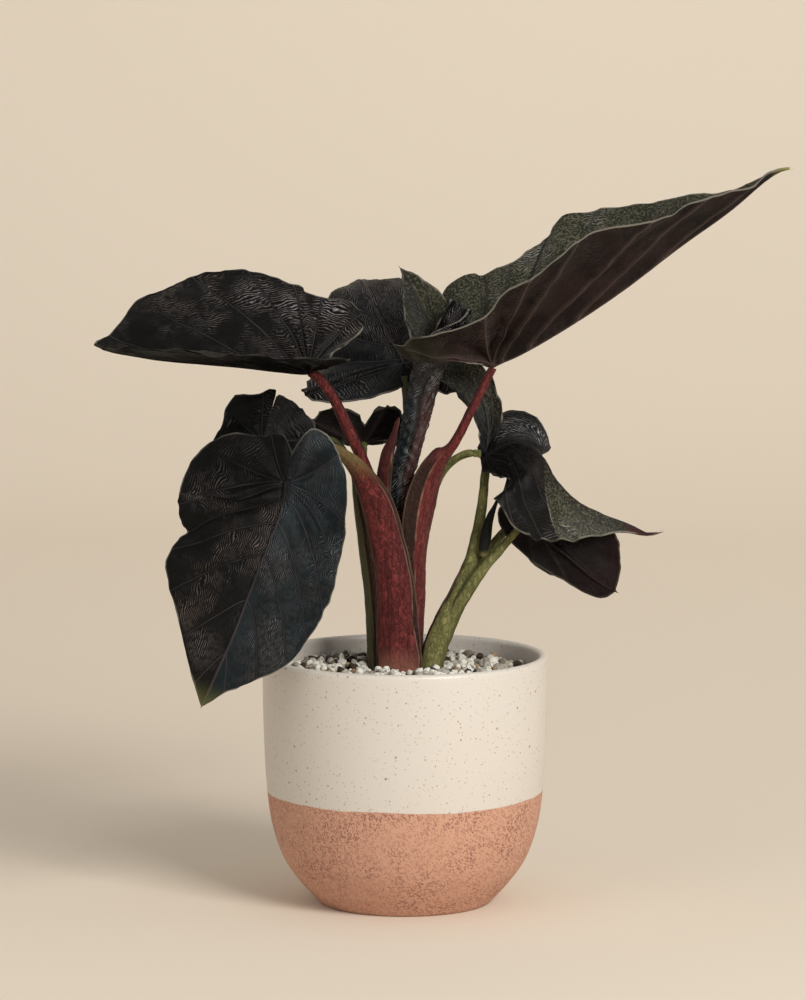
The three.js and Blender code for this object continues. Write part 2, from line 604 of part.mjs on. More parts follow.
// Stalks, front ones first: each later one is cut back to clear those before it
const STALKS = [
  {
    name: "front_left_stalk",
    surface: "redStalk",
    outward: [-0.2, -1, 0],
    groove: 0.72,
    stations: [[-4, -5, STALK_FOOT, 20, 10], [-4, -8, 125, 21, 10], [-5, -8, 150, 21, 10],
      [-6, -8, 170, 21, 10], [-8.5, -8, 188, 20, 9], [-14, -9, 211, 18, 8], [-21, -13, 226, 13, 7],
      [-30, -22, 238, 7.5, 6], [-41, -36, 245, 5, 5], [-52, -50, 242, 4.5, 4.5], [-60, -57, 231, 4, 4]],
  },
  {
    name: "upper_right_stalk",
    surface: "redStalk",
    outward: [0.7, -0.7, 0],
    groove: 0.72,
    stations: [[4, 2, STALK_FOOT, 12, 8], [4, 2, 131, 13, 8], [4.5, 2, 160, 15, 8], [5, 1, 186, 17, 8],
      [9.5, 0, 208, 18, 8], [13, 0, 225, 17, 7], [18.5, -1, 235, 12, 6.5], [25, -2, 242, 6.4, 6],
      [34.5, -2, 261, 5.6, 5.4], [41.5, -2, 275, 5.2, 5], [45.5, -2, 283, 4.8, 4.6]],
  },
  {
    name: "back_left_stalk",
    surface: "greenStalk",
    outward: [-1, -0.3, 0],
    groove: 0.6,
    stations: [[-13, 1, STALK_FOOT, 11, 8], [-13, 1, 125, 11, 8], [-14, 2, 160, 11, 8], [-17, 3, 185, 11, 8],
      [-22, 4, 210, 9, 7], [-26, 2, 228, 6, 5.5], [-31, -3, 241, 5, 5], [-39, -9, 248, 4.4, 4.4],
      [-49, -13, 252, 4.2, 4.2], [-62, -17, 251, 4, 4], [-72, -19, 248, 4, 4]],
  },
  {
    name: "upper_left_stalk",
    surface: "redStalk",
    outward: [0, -1, 0],
    stations: [[-6, 5, STALK_FOOT, 7, 6], [-7, 5, 133, 7, 6], [-10, 5, 160, 7, 6], [-12, 5, 186, 7, 6],
      [-15, 3, 208, 6.5, 6], [-20, -2, 229, 6, 5.5], [-30, -9, 252, 6, 5.4], [-39, -14, 271, 5.4, 5],
      [-45, -17, 279, 5, 4.8], [-49, -19, 282, 4.6, 4.6]],
  },
  {
    name: "newest_leaf_stalk",
    surface: "redStalk",
    outward: [0, -1, 0],
    stations: [[-1, 11, STALK_FOOT, 7, 7], [-1, 11, 140, 7, 7], [-2, 9, 175, 7, 7],
      [-3, 5, 198, 7, 7], [-3, 4, 206, 7, 7]],
  },
  {
    name: "back_stalk",
    surface: "redStalk",
    outward: [0, 1, 0],
    stations: [[-3, 19, STALK_FOOT, 8, 7], [-3, 18, 158, 7, 6], [-1, 18, 211, 6, 5.5], [2, 18, 248, 5, 5],
      [1, 18, 264, 4.5, 4.5], [0, 19, 272, 4, 4], [-0.5, 19.5, 276.5, 3.6, 3.6]],
  },
  {
    name: "drooping_stalk",
    surface: "greenStalk",
    outward: [-1, 0.3, 0],
    stations: [[-11, 13, STALK_FOOT, 8, 7], [-12, 13, 150, 7, 6], [-14, 14, 190, 6, 5.5],
      [-19, 17, 218, 5, 5], [-22, 21, 232, 4.4, 4.4], [-22, 26.5, 242, 4, 4]],
  },
  {
    name: "right_stalk",
    surface: "greenStalk",
    outward: [1, 0, 0],
    stations: [[6, 12, STALK_FOOT, 8, 6], [6, 11, 150, 7, 5.5], [7, 11, 191, 6, 5], [13, 12, 212, 5, 4.5],
      [19, 12, 225, 4.2, 4.2], [26, 11, 233, 4, 4], [33, 9, 236.5, 4, 4], [40, 8.6, 236.4, 3.8, 3.8]],
  },
];

// The offset's three stalks sheath each other at the foot and are one piece there.
const OFFSET_STALKS = [
  {
    outward: [0, -1, 0],
    stations: [[14, -3, STALK_FOOT, 12, 10], [14, -3, 128, 13, 11], [20, -1, 146, 13, 11],
      [28.5, 2, 163, 11, 10], [35, 6, 180, 8, 7], [38.5, 10, 196, 6, 5.5], [41, 13, 212, 5, 5],
      [42, 15, 223, 4.6, 4.6], [43, 17, 231.5, 4.2, 4.2]],
  },
  {
    outward: [0, -1, 0],
    stations: [[18, -2, 140, 6, 6], [30, -3, 161, 7, 6], [40, -3, 176, 6, 5.5], [50, -1, 187, 4.6, 4.6],
      [58, 1, 196, 4.2, 4.2], [64, 3, 202, 4, 4]],
  },
  {
    outward: [0, -1, 0],
    stations: [[21, 2, 148, 6, 6], [31, 4, 166, 6, 6], [41, 8, 181, 5, 5], [49, 12, 191, 4.4, 4.4],
      [56, 14, 198, 4.2, 4.2], [63, 16, 203, 4, 4]],
  },
];

const BRACTS = [
  {
    name: "crown_bract",
    surface: "bract",
    outward: [-0.5, -1, 0],
    groove: 0.75,
    stations: [[-10, -1, 205, 7, 5], [-11, -3, 220, 9, 6], [-9, -5, 237, 8, 5], [-6, -5, 248, 5, 4],
      [-2, -4, 261, 1, 1]],
  },
  {
    name: "offset_spike",
    surface: "velvetLeaf",
    outward: [0, -1, 0],
    stations: [[41, 0, 183, 4, 3], [42, 1, 191, 6, 4], [44.5, 2, 203, 4.2, 3.2], [49, 2, 214, 0.8, 0.8]],
  },
];

// The newest leaf: a sheet rolled around its own stalk's line, opening into flaps at the top
const NEWEST_LEAF = {
  axis: [[-3, 4, 207], [-2, 4, 220], [2.5, 3, 239], [8, 2, 262], [14, 3, 285], [21, 4, 303], [28, 5, 316]],
  radius: [[0, 5], [30, 7], [80, 8.8], [112, 7.5]],
  coreShare: 0.56,
  turnStart: 200,
  turnLength: [[0, 430], [70, 400], [90, 300], [112, 200]],
  columns: 14,
  rows: 8,
};

function newestLeafSheet(leaf) {
  const path = new THREE.CatmullRomCurve3(leaf.axis.map(vector), false, "centripetal");
  const length = path.getLength();
  const grid = [];
  for (let row = 0; row <= leaf.rows; row += 1) {
    const along = row / leaf.rows;
    const centre = path.getPointAt(along);
    const forward = path.getTangentAt(along);
    const side = new THREE.Vector3().crossVectors(forward, new THREE.Vector3(0, -1, 0)).normalize();
    const front = new THREE.Vector3().crossVectors(side, forward);
    const [radius] = between(leaf.radius, along * length);
    const [turn] = between(leaf.turnLength, along * length);
    const line = [];
    for (let column = 0; column <= leaf.columns; column += 1) {
      const share = column / leaf.columns;
      const angle = THREE.MathUtils.degToRad(leaf.turnStart + turn * share);
      const reach = radius * THREE.MathUtils.lerp(leaf.coreShare, 1, share);
      line.push(
        centre
          .clone()
          .addScaledVector(side, reach * Math.cos(angle))
          .addScaledVector(front, reach * Math.sin(angle)),
      );
    }
    grid.push(line);
  }
  const faces = [];
  for (let row = 0; row < leaf.rows; row += 1) {
    for (let column = 0; column < leaf.columns; column += 1) {
      const [a, b] = [grid[row][column], grid[row][column + 1]];
      const [c, d] = [grid[row + 1][column], grid[row + 1][column + 1]];
      faces.push([a, b, d], [a, d, c]);
    }
  }
  return weld(faces);
}

// Assembly

const plant = new THREE.Group();
plant.name = "potted_antoro_velvet_alocasia";

const blades = LEAVES.map((leaf) => ({ name: leaf.name, sheet: bladeSheet(leaf) }));
blades.push({ name: "newest_leaf", sheet: newestLeafSheet(NEWEST_LEAF) });
const wideBlades = blades.map(({ sheet }) => thicken(sheet, BLADE_THICKNESS + 2 * BLADE_CLEARANCE));

// What has been placed so far, grown by the clearance that later pieces keep from it
const taken = [...wideBlades];

function cutClear(solid) {
  return largestBody(taken.reduce((rest, neighbour) => rest.subtract(neighbour), solid));
}

for (const { name, sheet } of blades) {
  plant.add(meshFrom(name, thicken(sheet, BLADE_THICKNESS), MATERIALS.velvetLeaf));
}
for (const stalk of STALKS) {
  plant.add(meshFrom(stalk.name, cutClear(stalkSolid(stalk)), MATERIALS[stalk.surface]));
  taken.push(stalkSolid(stalk, CLEARANCE));
}
const offset = OFFSET_STALKS.map((stalk) => stalkSolid(stalk)).reduce((whole, part) => whole.add(part));
plant.add(meshFrom("offset_stalks", cutClear(offset), MATERIALS.greenStalk));
taken.push(...OFFSET_STALKS.map((stalk) => stalkSolid(stalk, CLEARANCE)));
for (const bract of BRACTS) {
  plant.add(meshFrom(bract.name, cutClear(stalkSolid(bract)), MATERIALS[bract.surface]));
  taken.push(stalkSolid(bract, CLEARANCE));
}
plant.add(meshFrom("potting_soil", cutClear(soilBody()), MATERIALS.soil));
plant.add(meshFrom("perlite_top", cutClear(perliteLayer()), MATERIALS.perlite));
plant.add(meshFrom("planter", planter(), MATERIALS.ceramic));

export default plant;
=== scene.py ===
"""Potted antoro velvet alocasia: the looks of the plant, its planter and its perlite.

The lists of places are in millimetres, in the frame of the part. Meshes are made in metres.
"""

import math

import bpy
import numpy as np
from mathutils import Matrix, Vector


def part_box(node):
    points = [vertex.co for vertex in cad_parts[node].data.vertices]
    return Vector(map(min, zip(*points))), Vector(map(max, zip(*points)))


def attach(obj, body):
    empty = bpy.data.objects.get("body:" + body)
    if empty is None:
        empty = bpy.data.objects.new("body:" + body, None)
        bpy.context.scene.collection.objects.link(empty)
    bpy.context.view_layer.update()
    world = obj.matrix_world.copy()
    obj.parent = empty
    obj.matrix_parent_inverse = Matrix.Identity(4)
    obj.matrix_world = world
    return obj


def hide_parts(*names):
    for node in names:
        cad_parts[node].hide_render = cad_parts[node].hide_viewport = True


bl_info = {
    "name": "Potted velvet alocasia",
    "version": (1, 0, 0),
    "blender": (4, 5, 0),
    "location": "3D View > Sidebar > Alocasia",
    "description": "Builds a velvet alocasia with its stalks, perlite and two-tone planter",
    "category": "Add Mesh",
}

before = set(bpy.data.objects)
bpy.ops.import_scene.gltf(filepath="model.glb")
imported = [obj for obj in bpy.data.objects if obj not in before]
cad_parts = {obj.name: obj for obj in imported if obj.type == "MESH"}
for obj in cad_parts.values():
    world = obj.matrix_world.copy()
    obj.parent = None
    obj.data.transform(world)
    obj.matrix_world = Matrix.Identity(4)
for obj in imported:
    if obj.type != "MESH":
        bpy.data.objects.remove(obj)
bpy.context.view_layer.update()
BODY = "root"
MM = 0.001

PLANTER_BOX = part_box("planter")
PERLITE_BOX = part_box("perlite_top")
RIM_RADIUS = PLANTER_BOX[1].x / MM
POT_HEIGHT = PLANTER_BOX[1].z / MM

# Planter, as in the solids
FOOT_RADIUS = 46
FOOT_CHAMFER = 1.5
WALL = 4.6
FLOOR = 7
HOLLOW_TAPER = 1.2
HOLLOW_SHOULDER = 62
OUTER_WALL = [(56.7, 12.8), (64.2, 24), (70.2, 42), (73, 63), (74.7, 100)]

# Specks in the glaze: spacing and size in metres, share of places that have one, strength
GLAZE_SPECKS = [(0.0052, 0.00085, 0.5, 0.75), (0.0030, 0.00062, 0.8, 0.6), (0.0019, 0.0005, 0.85, 0.4)]
# The ways that the dashes in the clay lie, as angles around x, y and z
DASH_TURNS = [(0.6, 0.4, 0.9), (-0.8, 1.1, 0.2), (1.9, -0.5, 1.4)]

# Filling, as in the solids
SOIL_TOP_AT_WALL = 119.5
SOIL_DOME = 3
# The grains lie on a triangular grid: rows by columns, and how far each is shaken off its place
ROW_SHARE = 0.87
SHAKE = 0.3
GRAIN_CUTS = 7

# The grid of a blade, in millimetres where it is a length
SPLINE_STEPS = 60
JUNCTION = 1
FRILL_REACH = 4
FRILL_STEP = 14
VEIN_BEND = 1.25
CURL_REACH = 50
RIPPLE_REACH = 10
LEFT_PHASE = 0.6
RIGHT_PHASE = 2.4
RIM_BULGE = 0.3
FOLD_REACH = 4.0
# A distance past any on a blade, and the free edge of a blade's map
FAR = 99.0
MAP_MARGIN = 1.5
# Lumps of the blades: height, reach and how far from the midrib they are full
LUMPS = [(0.5, 9, 12), (0.15, 3, 6)]
# The colour that painted shade fades to
NIGHT = (0.001, 0.001, 0.001)

# Stalks
STALK_FOOT = 112
STALK_STEP = 1.3
STALK_SIDES = 36

# The stage, in metres: half width, front and back, height of the wall and reach of its bend
BACKDROP = (4.0, -3.4, 2.7, 3.2, 1.2)
# Each light's place, the place it faces, its size and its tint
LIGHTS = {
    "key": ((1.58, -2.32, 1.66), (0, 0, 0.2), 1.3, (1.0, 0.99, 0.96)),
    "fill": ((-1.6, -1.4, 0.9), (0, 0, 0.2), 1.4, (1.0, 0.97, 0.94)),
    "wall": ((0.3, 1.0, 2.2), (0.2, 2.7, 1.6), 1.6, (1.0, 0.99, 0.96)),
}
SENSOR = 36
CAMERA_ASIDE = -1.05 * MM

# Leaves. They follow the solids, and some outlines, midribs and halves are drawn finer here.
# A midrib runs from behind the stalk's end, under the lobes, to the tip, and the stalk meets it
# at its second point. A half holds stations of [distance, direction x, y, z, curl]. An outline
# holds [distance along the midrib, distance from it], and fan is the number of its point where
# the veins stop starting from the stalk. The margin waves up and down by ripple millimetres.
LEAVES = {
    "front_left_leaf": {
        "midrib": [[-54, -54, 262], [-61, -60, 229], [-63, -68, 216], [-71, -76, 195], [-79, -80, 175],
                   [-87, -82, 154], [-96, -82, 134], [-104.5, -80, 115]],
        "fan": 6, "waves": 4, "ripple": 1.2,
        "left_half": [[-30, 0.9, 0.3, -0.2, 30], [0, 0.9, 0.2, -0.3, 30], [60, 0.87, 0.3, -0.35, 30],
                      [110, 0.8, 0.4, -0.3, 20]],
        "right_half": [[-30, -0.9, 0.2, 0.2, 20], [0, -0.9, 0.2, 0.3, 20], [60, -0.87, 0.2, 0.35, 20],
                       [110, -0.9, 0.2, 0.3, 20]],
        "left_outline": [[-16, 0], [-25, 3.5], [-30, 8.5], [-29, 17], [-20, 26], [-4, 34], [12, 39],
                         [29, 42], [44, 45], [57, 47], [70, 45], [82, 40], [93, 32], [104, 22],
                         [115, 9], [125, 0]],
        "right_outline": [[-16, 0], [-24, 6.5], [-21, 18], [-19, 33], [-11, 47], [-1, 55.5], [12, 56],
                          [25, 54], [36, 50], [42, 45.5], [49, 47], [63, 47], [81, 37], [99, 23],
                          [116, 8], [125, 0]],
    },
    "upper_left_leaf": {
        "midrib": [[-18, -17, 288], [-50, -19, 283], [-65, -19, 284], [-86, -18, 286],
                   [-106, -15, 287], [-127, -11, 288], [-143, -7, 290], [-155, -4, 292],
                   [-162, -2, 295]],
        "fan": 6, "waves": 3, "ripple": 1,
        "left_half": [[-30, 0, -0.98, 0.18, 0], [120, 0, -0.98, 0.18, 0]],
        "right_half": [[-30, 0, 0.5, 0.86, 20], [60, 0, 0.5, 0.86, 20], [110, 0, 0.6, 0.8, 10]],
        "left_outline": [[-10, 0], [-13, 8], [-18, 15], [-21, 25], [-18, 36], [-11, 44], [0, 50],
                         [14, 53], [30, 53], [46, 50], [61, 44], [76, 36], [91, 26], [103, 13],
                         [109, 3], [117, 0]],
        "right_outline": [[-10, 0], [-14, 8], [-24, 13], [-34, 22], [-31, 33], [-19, 42], [-3, 50],
                          [14, 57], [30, 60], [46, 60], [61, 57], [78, 51], [94, 41], [107, 26],
                          [111, 8], [117, 0]],
    },
    "upper_right_leaf": {
        "midrib": [[14, -2, 264], [45, -2, 285], [60, -2, 292], [86, -2, 307], [112, -2, 324],
                   [143, -2, 347], [169, 0, 365], [187, 2, 380], [195, 4, 385], [203, 6, 387]],
        "fan": 6, "waves": 6, "ripple": 2,
        "left_half": [[-30, -0.37, 0.755, 0.545, 0], [90, -0.37, 0.755, 0.545, 0],
                      [180, -0.3, 0.8, 0.5, 0]],
        "right_half": [[-42, -0.6, -0.2, 0.77, 0], [-30, -0.4, -0.7, 0.6, 0],
                       [-18, -0.345, -0.79, 0.51, 0], [90, -0.345, -0.79, 0.51, 0],
                       [180, -0.3, -0.9, 0.2, 0]],
        "left_outline": [[-3, 0], [-4, 12], [-6, 27], [-9, 42], [-9, 55], [-1, 63], [10, 64],
                         [22, 61], [38, 57], [53, 61], [72, 65], [95, 54], [118, 38], [141, 20],
                         [165, 7], [187, 0]],
        "right_outline": [[-3, 0], [-8, 12], [-19, 27], [-32, 34], [-35, 45], [-19, 51], [3, 45],
                          [24, 50], [45, 54], [66, 58], [89, 51], [115, 36], [137, 26], [156, 15],
                          [172, 6], [187, 0]],
    },
    "back_leaf": {
        "midrib": [[2, 14, 262], [-1, 22, 283], [-6, 30, 292], [-12, 38, 302], [-18, 50, 314],
                   [-22, 66, 322], [-26, 86, 322], [-30, 108, 314]],
        "fan": 6, "waves": 5, "ripple": 1.2,
        "left_half": [[-20, -0.98, 0, -0.15, 0], [10, -0.98, 0, -0.15, 0], [40, -0.86, 0.1, -0.5, 20],
                      [100, -0.86, 0.1, -0.5, 20]],
        "right_half": [[-20, 0.9, 0.4, -0.1, 0], [40, 0.9, 0.3, 0, 10], [100, 0.98, 0, 0, 20]],
        "left_outline": [[-2, 0], [-10, 0.3], [-13.5, 4], [-18, 28], [-15, 51], [-6, 55], [4, 54],
                         [15, 49], [27, 43], [39, 37], [51, 31], [64, 26], [77, 19], [88, 12],
                         [98, 5], [106, 0]],
        "right_outline": [[-2, 0], [-10, 0.3], [-13, 5], [-17, 24], [-11, 36], [-1, 41], [8, 43],
                          [18, 43], [29, 41], [40, 38], [52, 33], [64, 27], [76, 20], [88, 12],
                          [98, 5], [106, 0]],
    },
    "back_left_leaf": {
        "midrib": [[-66, -12, 272], [-74, -20, 247], [-78, -32, 232], [-82, -42, 213],
                   [-87, -46, 193], [-90, -44, 171], [-93, -36, 152]],
        "fan": 4, "waves": 4, "ripple": 1,
        "left_half": [[-25, 0.95, 0.2, -0.1, 10], [100, 0.95, 0.3, -0.1, 20]],
        "right_half": [[-25, -0.95, 0.3, 0.1, 10], [100, -0.95, 0.3, 0.1, 20]],
        "left_outline": [[-17, 0], [-25, 0.8], [-23, 12], [-16, 24], [-2, 32], [16, 33], [34, 32],
                         [52, 28], [67, 22], [81, 14], [94, 5], [104, 0]],
        "right_outline": [[-17, 0], [-28, 2], [-22, 12], [-18, 22], [-3, 25], [18, 26], [36, 26],
                          [52, 23], [67, 18], [81, 12], [94, 5], [104, 0]],
    },
    "drooping_leaf": {
        "midrib": [[-20, 21, 262], [-22, 26, 241], [-21, 36, 240], [-20, 56, 241], [-19, 76, 238],
                   [-17, 98, 232]],
        "fan": 4, "waves": 4, "ripple": 1,
        "left_half": [[-20, -1, 0, 0, 0], [80, -1, 0, 0, 20]],
        "right_half": [[-20, 1, 0, 0, 0], [80, 1, 0, 0, 20]],
        "left_outline": [[-10, 0], [-16, 6], [-17, 17], [-12, 26], [0, 30], [15, 32], [29, 31],
                         [42, 27], [53, 20], [63, 11], [70, 4], [75, 0]],
        "right_outline": [[-10, 0], [-20, 6], [-22, 14], [-13, 21], [0, 25], [15, 29], [29, 29],
                          [42, 26], [53, 19], [63, 11], [70, 4], [75, 0]],
    },
    "right_leaf": {
        "midrib": [[40, 14, 238], [43, 8, 236], [56, 1, 243], [70, -6, 238], [79, -4, 224],
                   [90, 3, 212], [104, 10, 204], [119, 14, 198], [129, 16, 193], [137, 16, 195]],
        "fan": 4, "waves": 3, "ripple": 0.8,
        "left_half": [[-6, 0.2, 0.86, 0.45, 0], [10, 0.1, 0.86, 0.5, 0], [28, 0, 0.98, 0.12, 0],
                      [46, -0.5, 0.85, 0, 0], [66, -0.5, 0.85, 0, 0], [80, -0.3, 0.95, 0, 0],
                      [120, -0.3, 0.95, 0, 0]],
        "right_half": [[-6, -0.2, -0.3, -0.93, 0], [20, -0.2, -0.3, -0.93, 0],
                       [45, -0.5, -0.42, -0.75, 0], [66, -0.5, -0.42, -0.75, 0],
                       [82, -0.5, -0.7, -0.4, 0], [120, -0.3, -0.9, -0.3, 0]],
        "left_outline": [[-3, 0], [-4, 8], [-4, 17], [-4, 25], [-1, 31], [9, 31], [21, 28],
                         [42, 26], [66, 23], [86, 14], [102, 5], [118, 0]],
        "right_outline": [[-3, 0], [-2, 5], [2, 12], [9, 20], [23, 28], [38, 36], [50, 36],
                          [60, 31], [72, 21], [86, 13], [103, 6], [118, 0]],
    },
    "offset_upright_leaf": {
        "midrib": [[44, 17, 226], [43, 17, 235], [44, 17, 248], [42, 18, 261], [35, 20, 275],
                   [24, 22, 288], [14, 22, 303], [7, 21, 317], [1, 21, 329], [-4, 19, 335]],
        "fan": 4, "waves": 4, "ripple": 1,
        "left_half": [[-10, -0.85, -0.3, 0, 0], [110, -0.85, -0.3, -0.2, 0]],
        "right_half": [[-10, 0.85, -0.2, 0.1, 0], [110, 0.85, -0.2, 0.1, 0]],
        "left_outline": [[-3, 0], [-3, 2], [0, 4], [6, 5], [14, 6], [26, 8], [42, 12], [58, 14],
                         [74, 14], [90, 11], [103, 5], [112, 0]],
        "right_outline": [[-3, 0], [-3, 1.5], [-1, 3], [4, 4], [14, 7], [26, 9], [42, 9], [58, 9],
                          [74, 10], [90, 13], [103, 6], [112, 0]],
    },
    "offset_low_leaf": {
        "midrib": [[52, 1, 214], [64, 3, 202], [75, 8, 191], [88, 10, 180], [101, 10, 169],
                   [113.5, 8, 162]],
        "fan": 3, "waves": 3, "ripple": 0.7,
        "left_half": [[-10, -0.7, 0, -0.7, 0], [60, -0.7, 0, -0.7, 10]],
        "right_half": [[-10, 0.7, 0.1, 0.7, 0], [60, 0.7, 0.1, 0.7, 10]],
        "left_outline": [[-8, 0], [-15, 5], [-10, 11], [2, 14], [14, 14], [26, 13], [38, 11],
                         [49, 9], [58, 6], [62, 0]],
        "right_outline": [[-8, 0], [-14, 6], [-9, 14], [2, 20], [14, 24], [26, 26], [38, 26],
                          [49, 22], [58, 13], [62, 0]],
    },
    "offset_hidden_leaf": {
        "midrib": [[59, 12, 213], [63, 16, 203], [67, 22, 189], [74, 24, 177], [83, 22, 168]],
        "fan": 3, "waves": 2, "ripple": 0.5,
        "left_half": [[-8, -0.9, 0, -0.3, 0], [40, -0.8, 0, -0.5, 0]],
        "right_half": [[-8, 0.9, 0.2, 0.3, 0], [40, 0.8, 0.2, 0.5, 0]],
        "left_outline": [[-4, 0], [-9, 3], [-6, 7], [1, 9], [9, 9], [17, 8], [25, 6], [32, 4],
                         [37, 2], [41, 0]],
        "right_outline": [[-4, 0], [-9, 4], [-6, 9], [1, 12], [9, 13], [17, 12], [25, 9], [32, 6],
                          [37, 2], [41, 0]],
    },
}

# The looks of each blade, over those of a plain one. Pairs are for the left and the right half,
# ranges are along the midrib in millimetres.
#   veins: places of the main veins, counted in outline points
#   cool, olive: how much painted blue sheen and painted grey green sheen the halves show
#   olive_from: where the painted grey green sheen starts and is full, and how far that line slants
#       aside
#   olive_after: a range over which the painted grey green sheen may begin at all
#   lobe_olive: how grey green the lobes are below
#   tail: the range over which the blade turns maroon
#   tip_green: the share of green at the tip
#   swell: how far the panels swell between the veins, in millimetres
#   frill: how far the margin wanders, in millimetres
#   root_power: how strongly the veins sweep to the tip
#   close: how many times closer the ladder veins stand
#   crease: a pale line across the blade at this place
#   fine_under: the underside has the grid of the upper side
#   top_both: halves that show the dark skin below too, as painted shade with almost no reflection
#   painted_shade_halves: how much painted shade darkens the halves
#   dents, glints, shades: spots of [along, aside, reach, strength], where aside is above zero
#     on the right half: dents in millimetres, painted highlights on fine veins, and painted shade
PLAIN_LOOKS = {
    "cool": (0.1, 0.1), "olive": (0, 0), "olive_from": (-99, -98, 0), "olive_after": (-999, -998),
    "lobe_olive": 0, "tail": (999, 1000), "tip_green": 0, "frill": 0.6, "root_power": 2.5,
    "close": 1, "crease": None, "fine_under": False, "top_both": (False, False),
    "painted_shade_halves": (0, 0), "dents": [], "painted_glints": [], "shades": [],
}
BLADE_LOOKS = {
    "front_left_leaf": {
        "veins": [1.6, 4.0, 5.8, 7.4, 9.0, 10.5, 11.7, 12.9, 14.0], "cool": (0.85, 0.1),
        "swell": 1.3, "tip_green": 0.3, "frill": 0.25, "close": 1.25,
        "dents": [(43, 40, 9, -4), (28, 46, 12, 3), (58, 40, 12, 2), (20, 12, 12, -2)],
        "painted_glints": [(24, 42, 8, 0.25), (98, 12, 12, 0.45), (88, -12, 13, 0.3),
                   (45, -28, 30, 0.25), (75, -22, 26, 0.28)],
        "shades": [(45, 30, 32, 0.45), (-12, 10, 20, 0.9), (-10, -14, 12, 0.7), (6, 8, 13, 0.8),
                   (-8, 36, 18, 0.85), (22, 22, 20, 0.6), (10, -22, 18, 0.6), (60, -20, 24, 0.35)],
    },
    "upper_left_leaf": {
        "veins": [2.2, 3.6, 5.3, 7.0, 8.7, 10.6, 12.5, 14.0], "cool": (0.3, 0.1), "swell": 1.8,
        "root_power": 4.2, "frill": 0.35, "top_both": (True, False),
        "painted_shade_halves": (0.95, 0),
        "painted_glints": [(10, 38, 15, 0.75), (34, 44, 14, 0.6), (-18, 36, 11, 1.0), (58, 22, 10, 0.3)],
        "shades": [(90, 22, 18, 0.3), (50, 16, 20, 0.3), (10, 8, 14, 0.4)],
    },
    "upper_right_leaf": {
        "veins": [2.2, 4.2, 6.2, 7.8, 9.4, 10.9, 12.2, 13.6], "cool": (0.5, 0.3),
        "olive": (1.0, 0.6), "swell": 3.0, "tip_green": 1.0, "lobe_olive": 0.8,
        "root_power": 3.6, "frill": 0.5, "fine_under": True,
        "painted_glints": [(50, -58, 14, 1.0), (90, -53, 8, 0.9), (20, -45, 12, 0.4)],
    },
    "back_leaf": {
        "veins": [2.4, 4.4, 6.2, 8.0, 9.8, 11.6, 13.3], "cool": (0.35, 0.2), "swell": 1.5,
        "frill": 0.5, "painted_glints": [(58, -14, 18, 0.5), (36, 2, 15, 0.5), (-8, -30, 16, 0.3)],
    },
    "back_left_leaf": {
        "veins": [1.6, 3.4, 5.2, 7.0, 8.6, 10.0], "cool": (0.1, 0.1), "swell": 1.2,
        "shades": [(0, 0, 90, 0.75)],
    },
    "drooping_leaf": {
        "veins": [1.6, 3.4, 5.2, 7.0, 8.6, 10.0], "swell": 1.2, "frill": 1.2,
        "shades": [(20, 0, 90, 0.85)],
    },
    "right_leaf": {
        "veins": [2.6, 3.8, 5.0, 6.1, 7.2, 8.3, 9.7], "cool": (0.35, 0.1), "olive": (1.0, 1.0),
        "olive_from": (37.4, 38.8, 1.3), "crease": 38.1, "swell": 1.2, "tail": (94, 104),
        "olive_after": (35, 45),
        "root_power": 4.5, "shades": [(5, 5, 40, 0.8), (30, 8, 26, 0.6)],
        "painted_glints": [(14, -14, 12, 0.9), (22, -18, 9, 1.0), (75, 15, 14, 0.8), (90, 5, 12, 0.8)],
    },
    "offset_upright_leaf": {
        "veins": [1.6, 3.4, 5.0, 6.6, 8.2, 9.8], "cool": (0.6, 0.2), "olive": (0.5, 1.0),
        "olive_from": (0, 45, 0), "swell": 0.5,
    },
    "offset_low_leaf": {
        "veins": [2.4, 4.4, 6.2], "swell": 0.9, "fine_under": True, "frill": 0.15,
        "shades": [(5, 0, 60, 0.95), (45, 0, 30, 0.85)], "tail": (34, 52),
    },
    "offset_hidden_leaf": {"veins": [1.4, 2.8, 4.4, 6.0], "swell": 0.4},
}

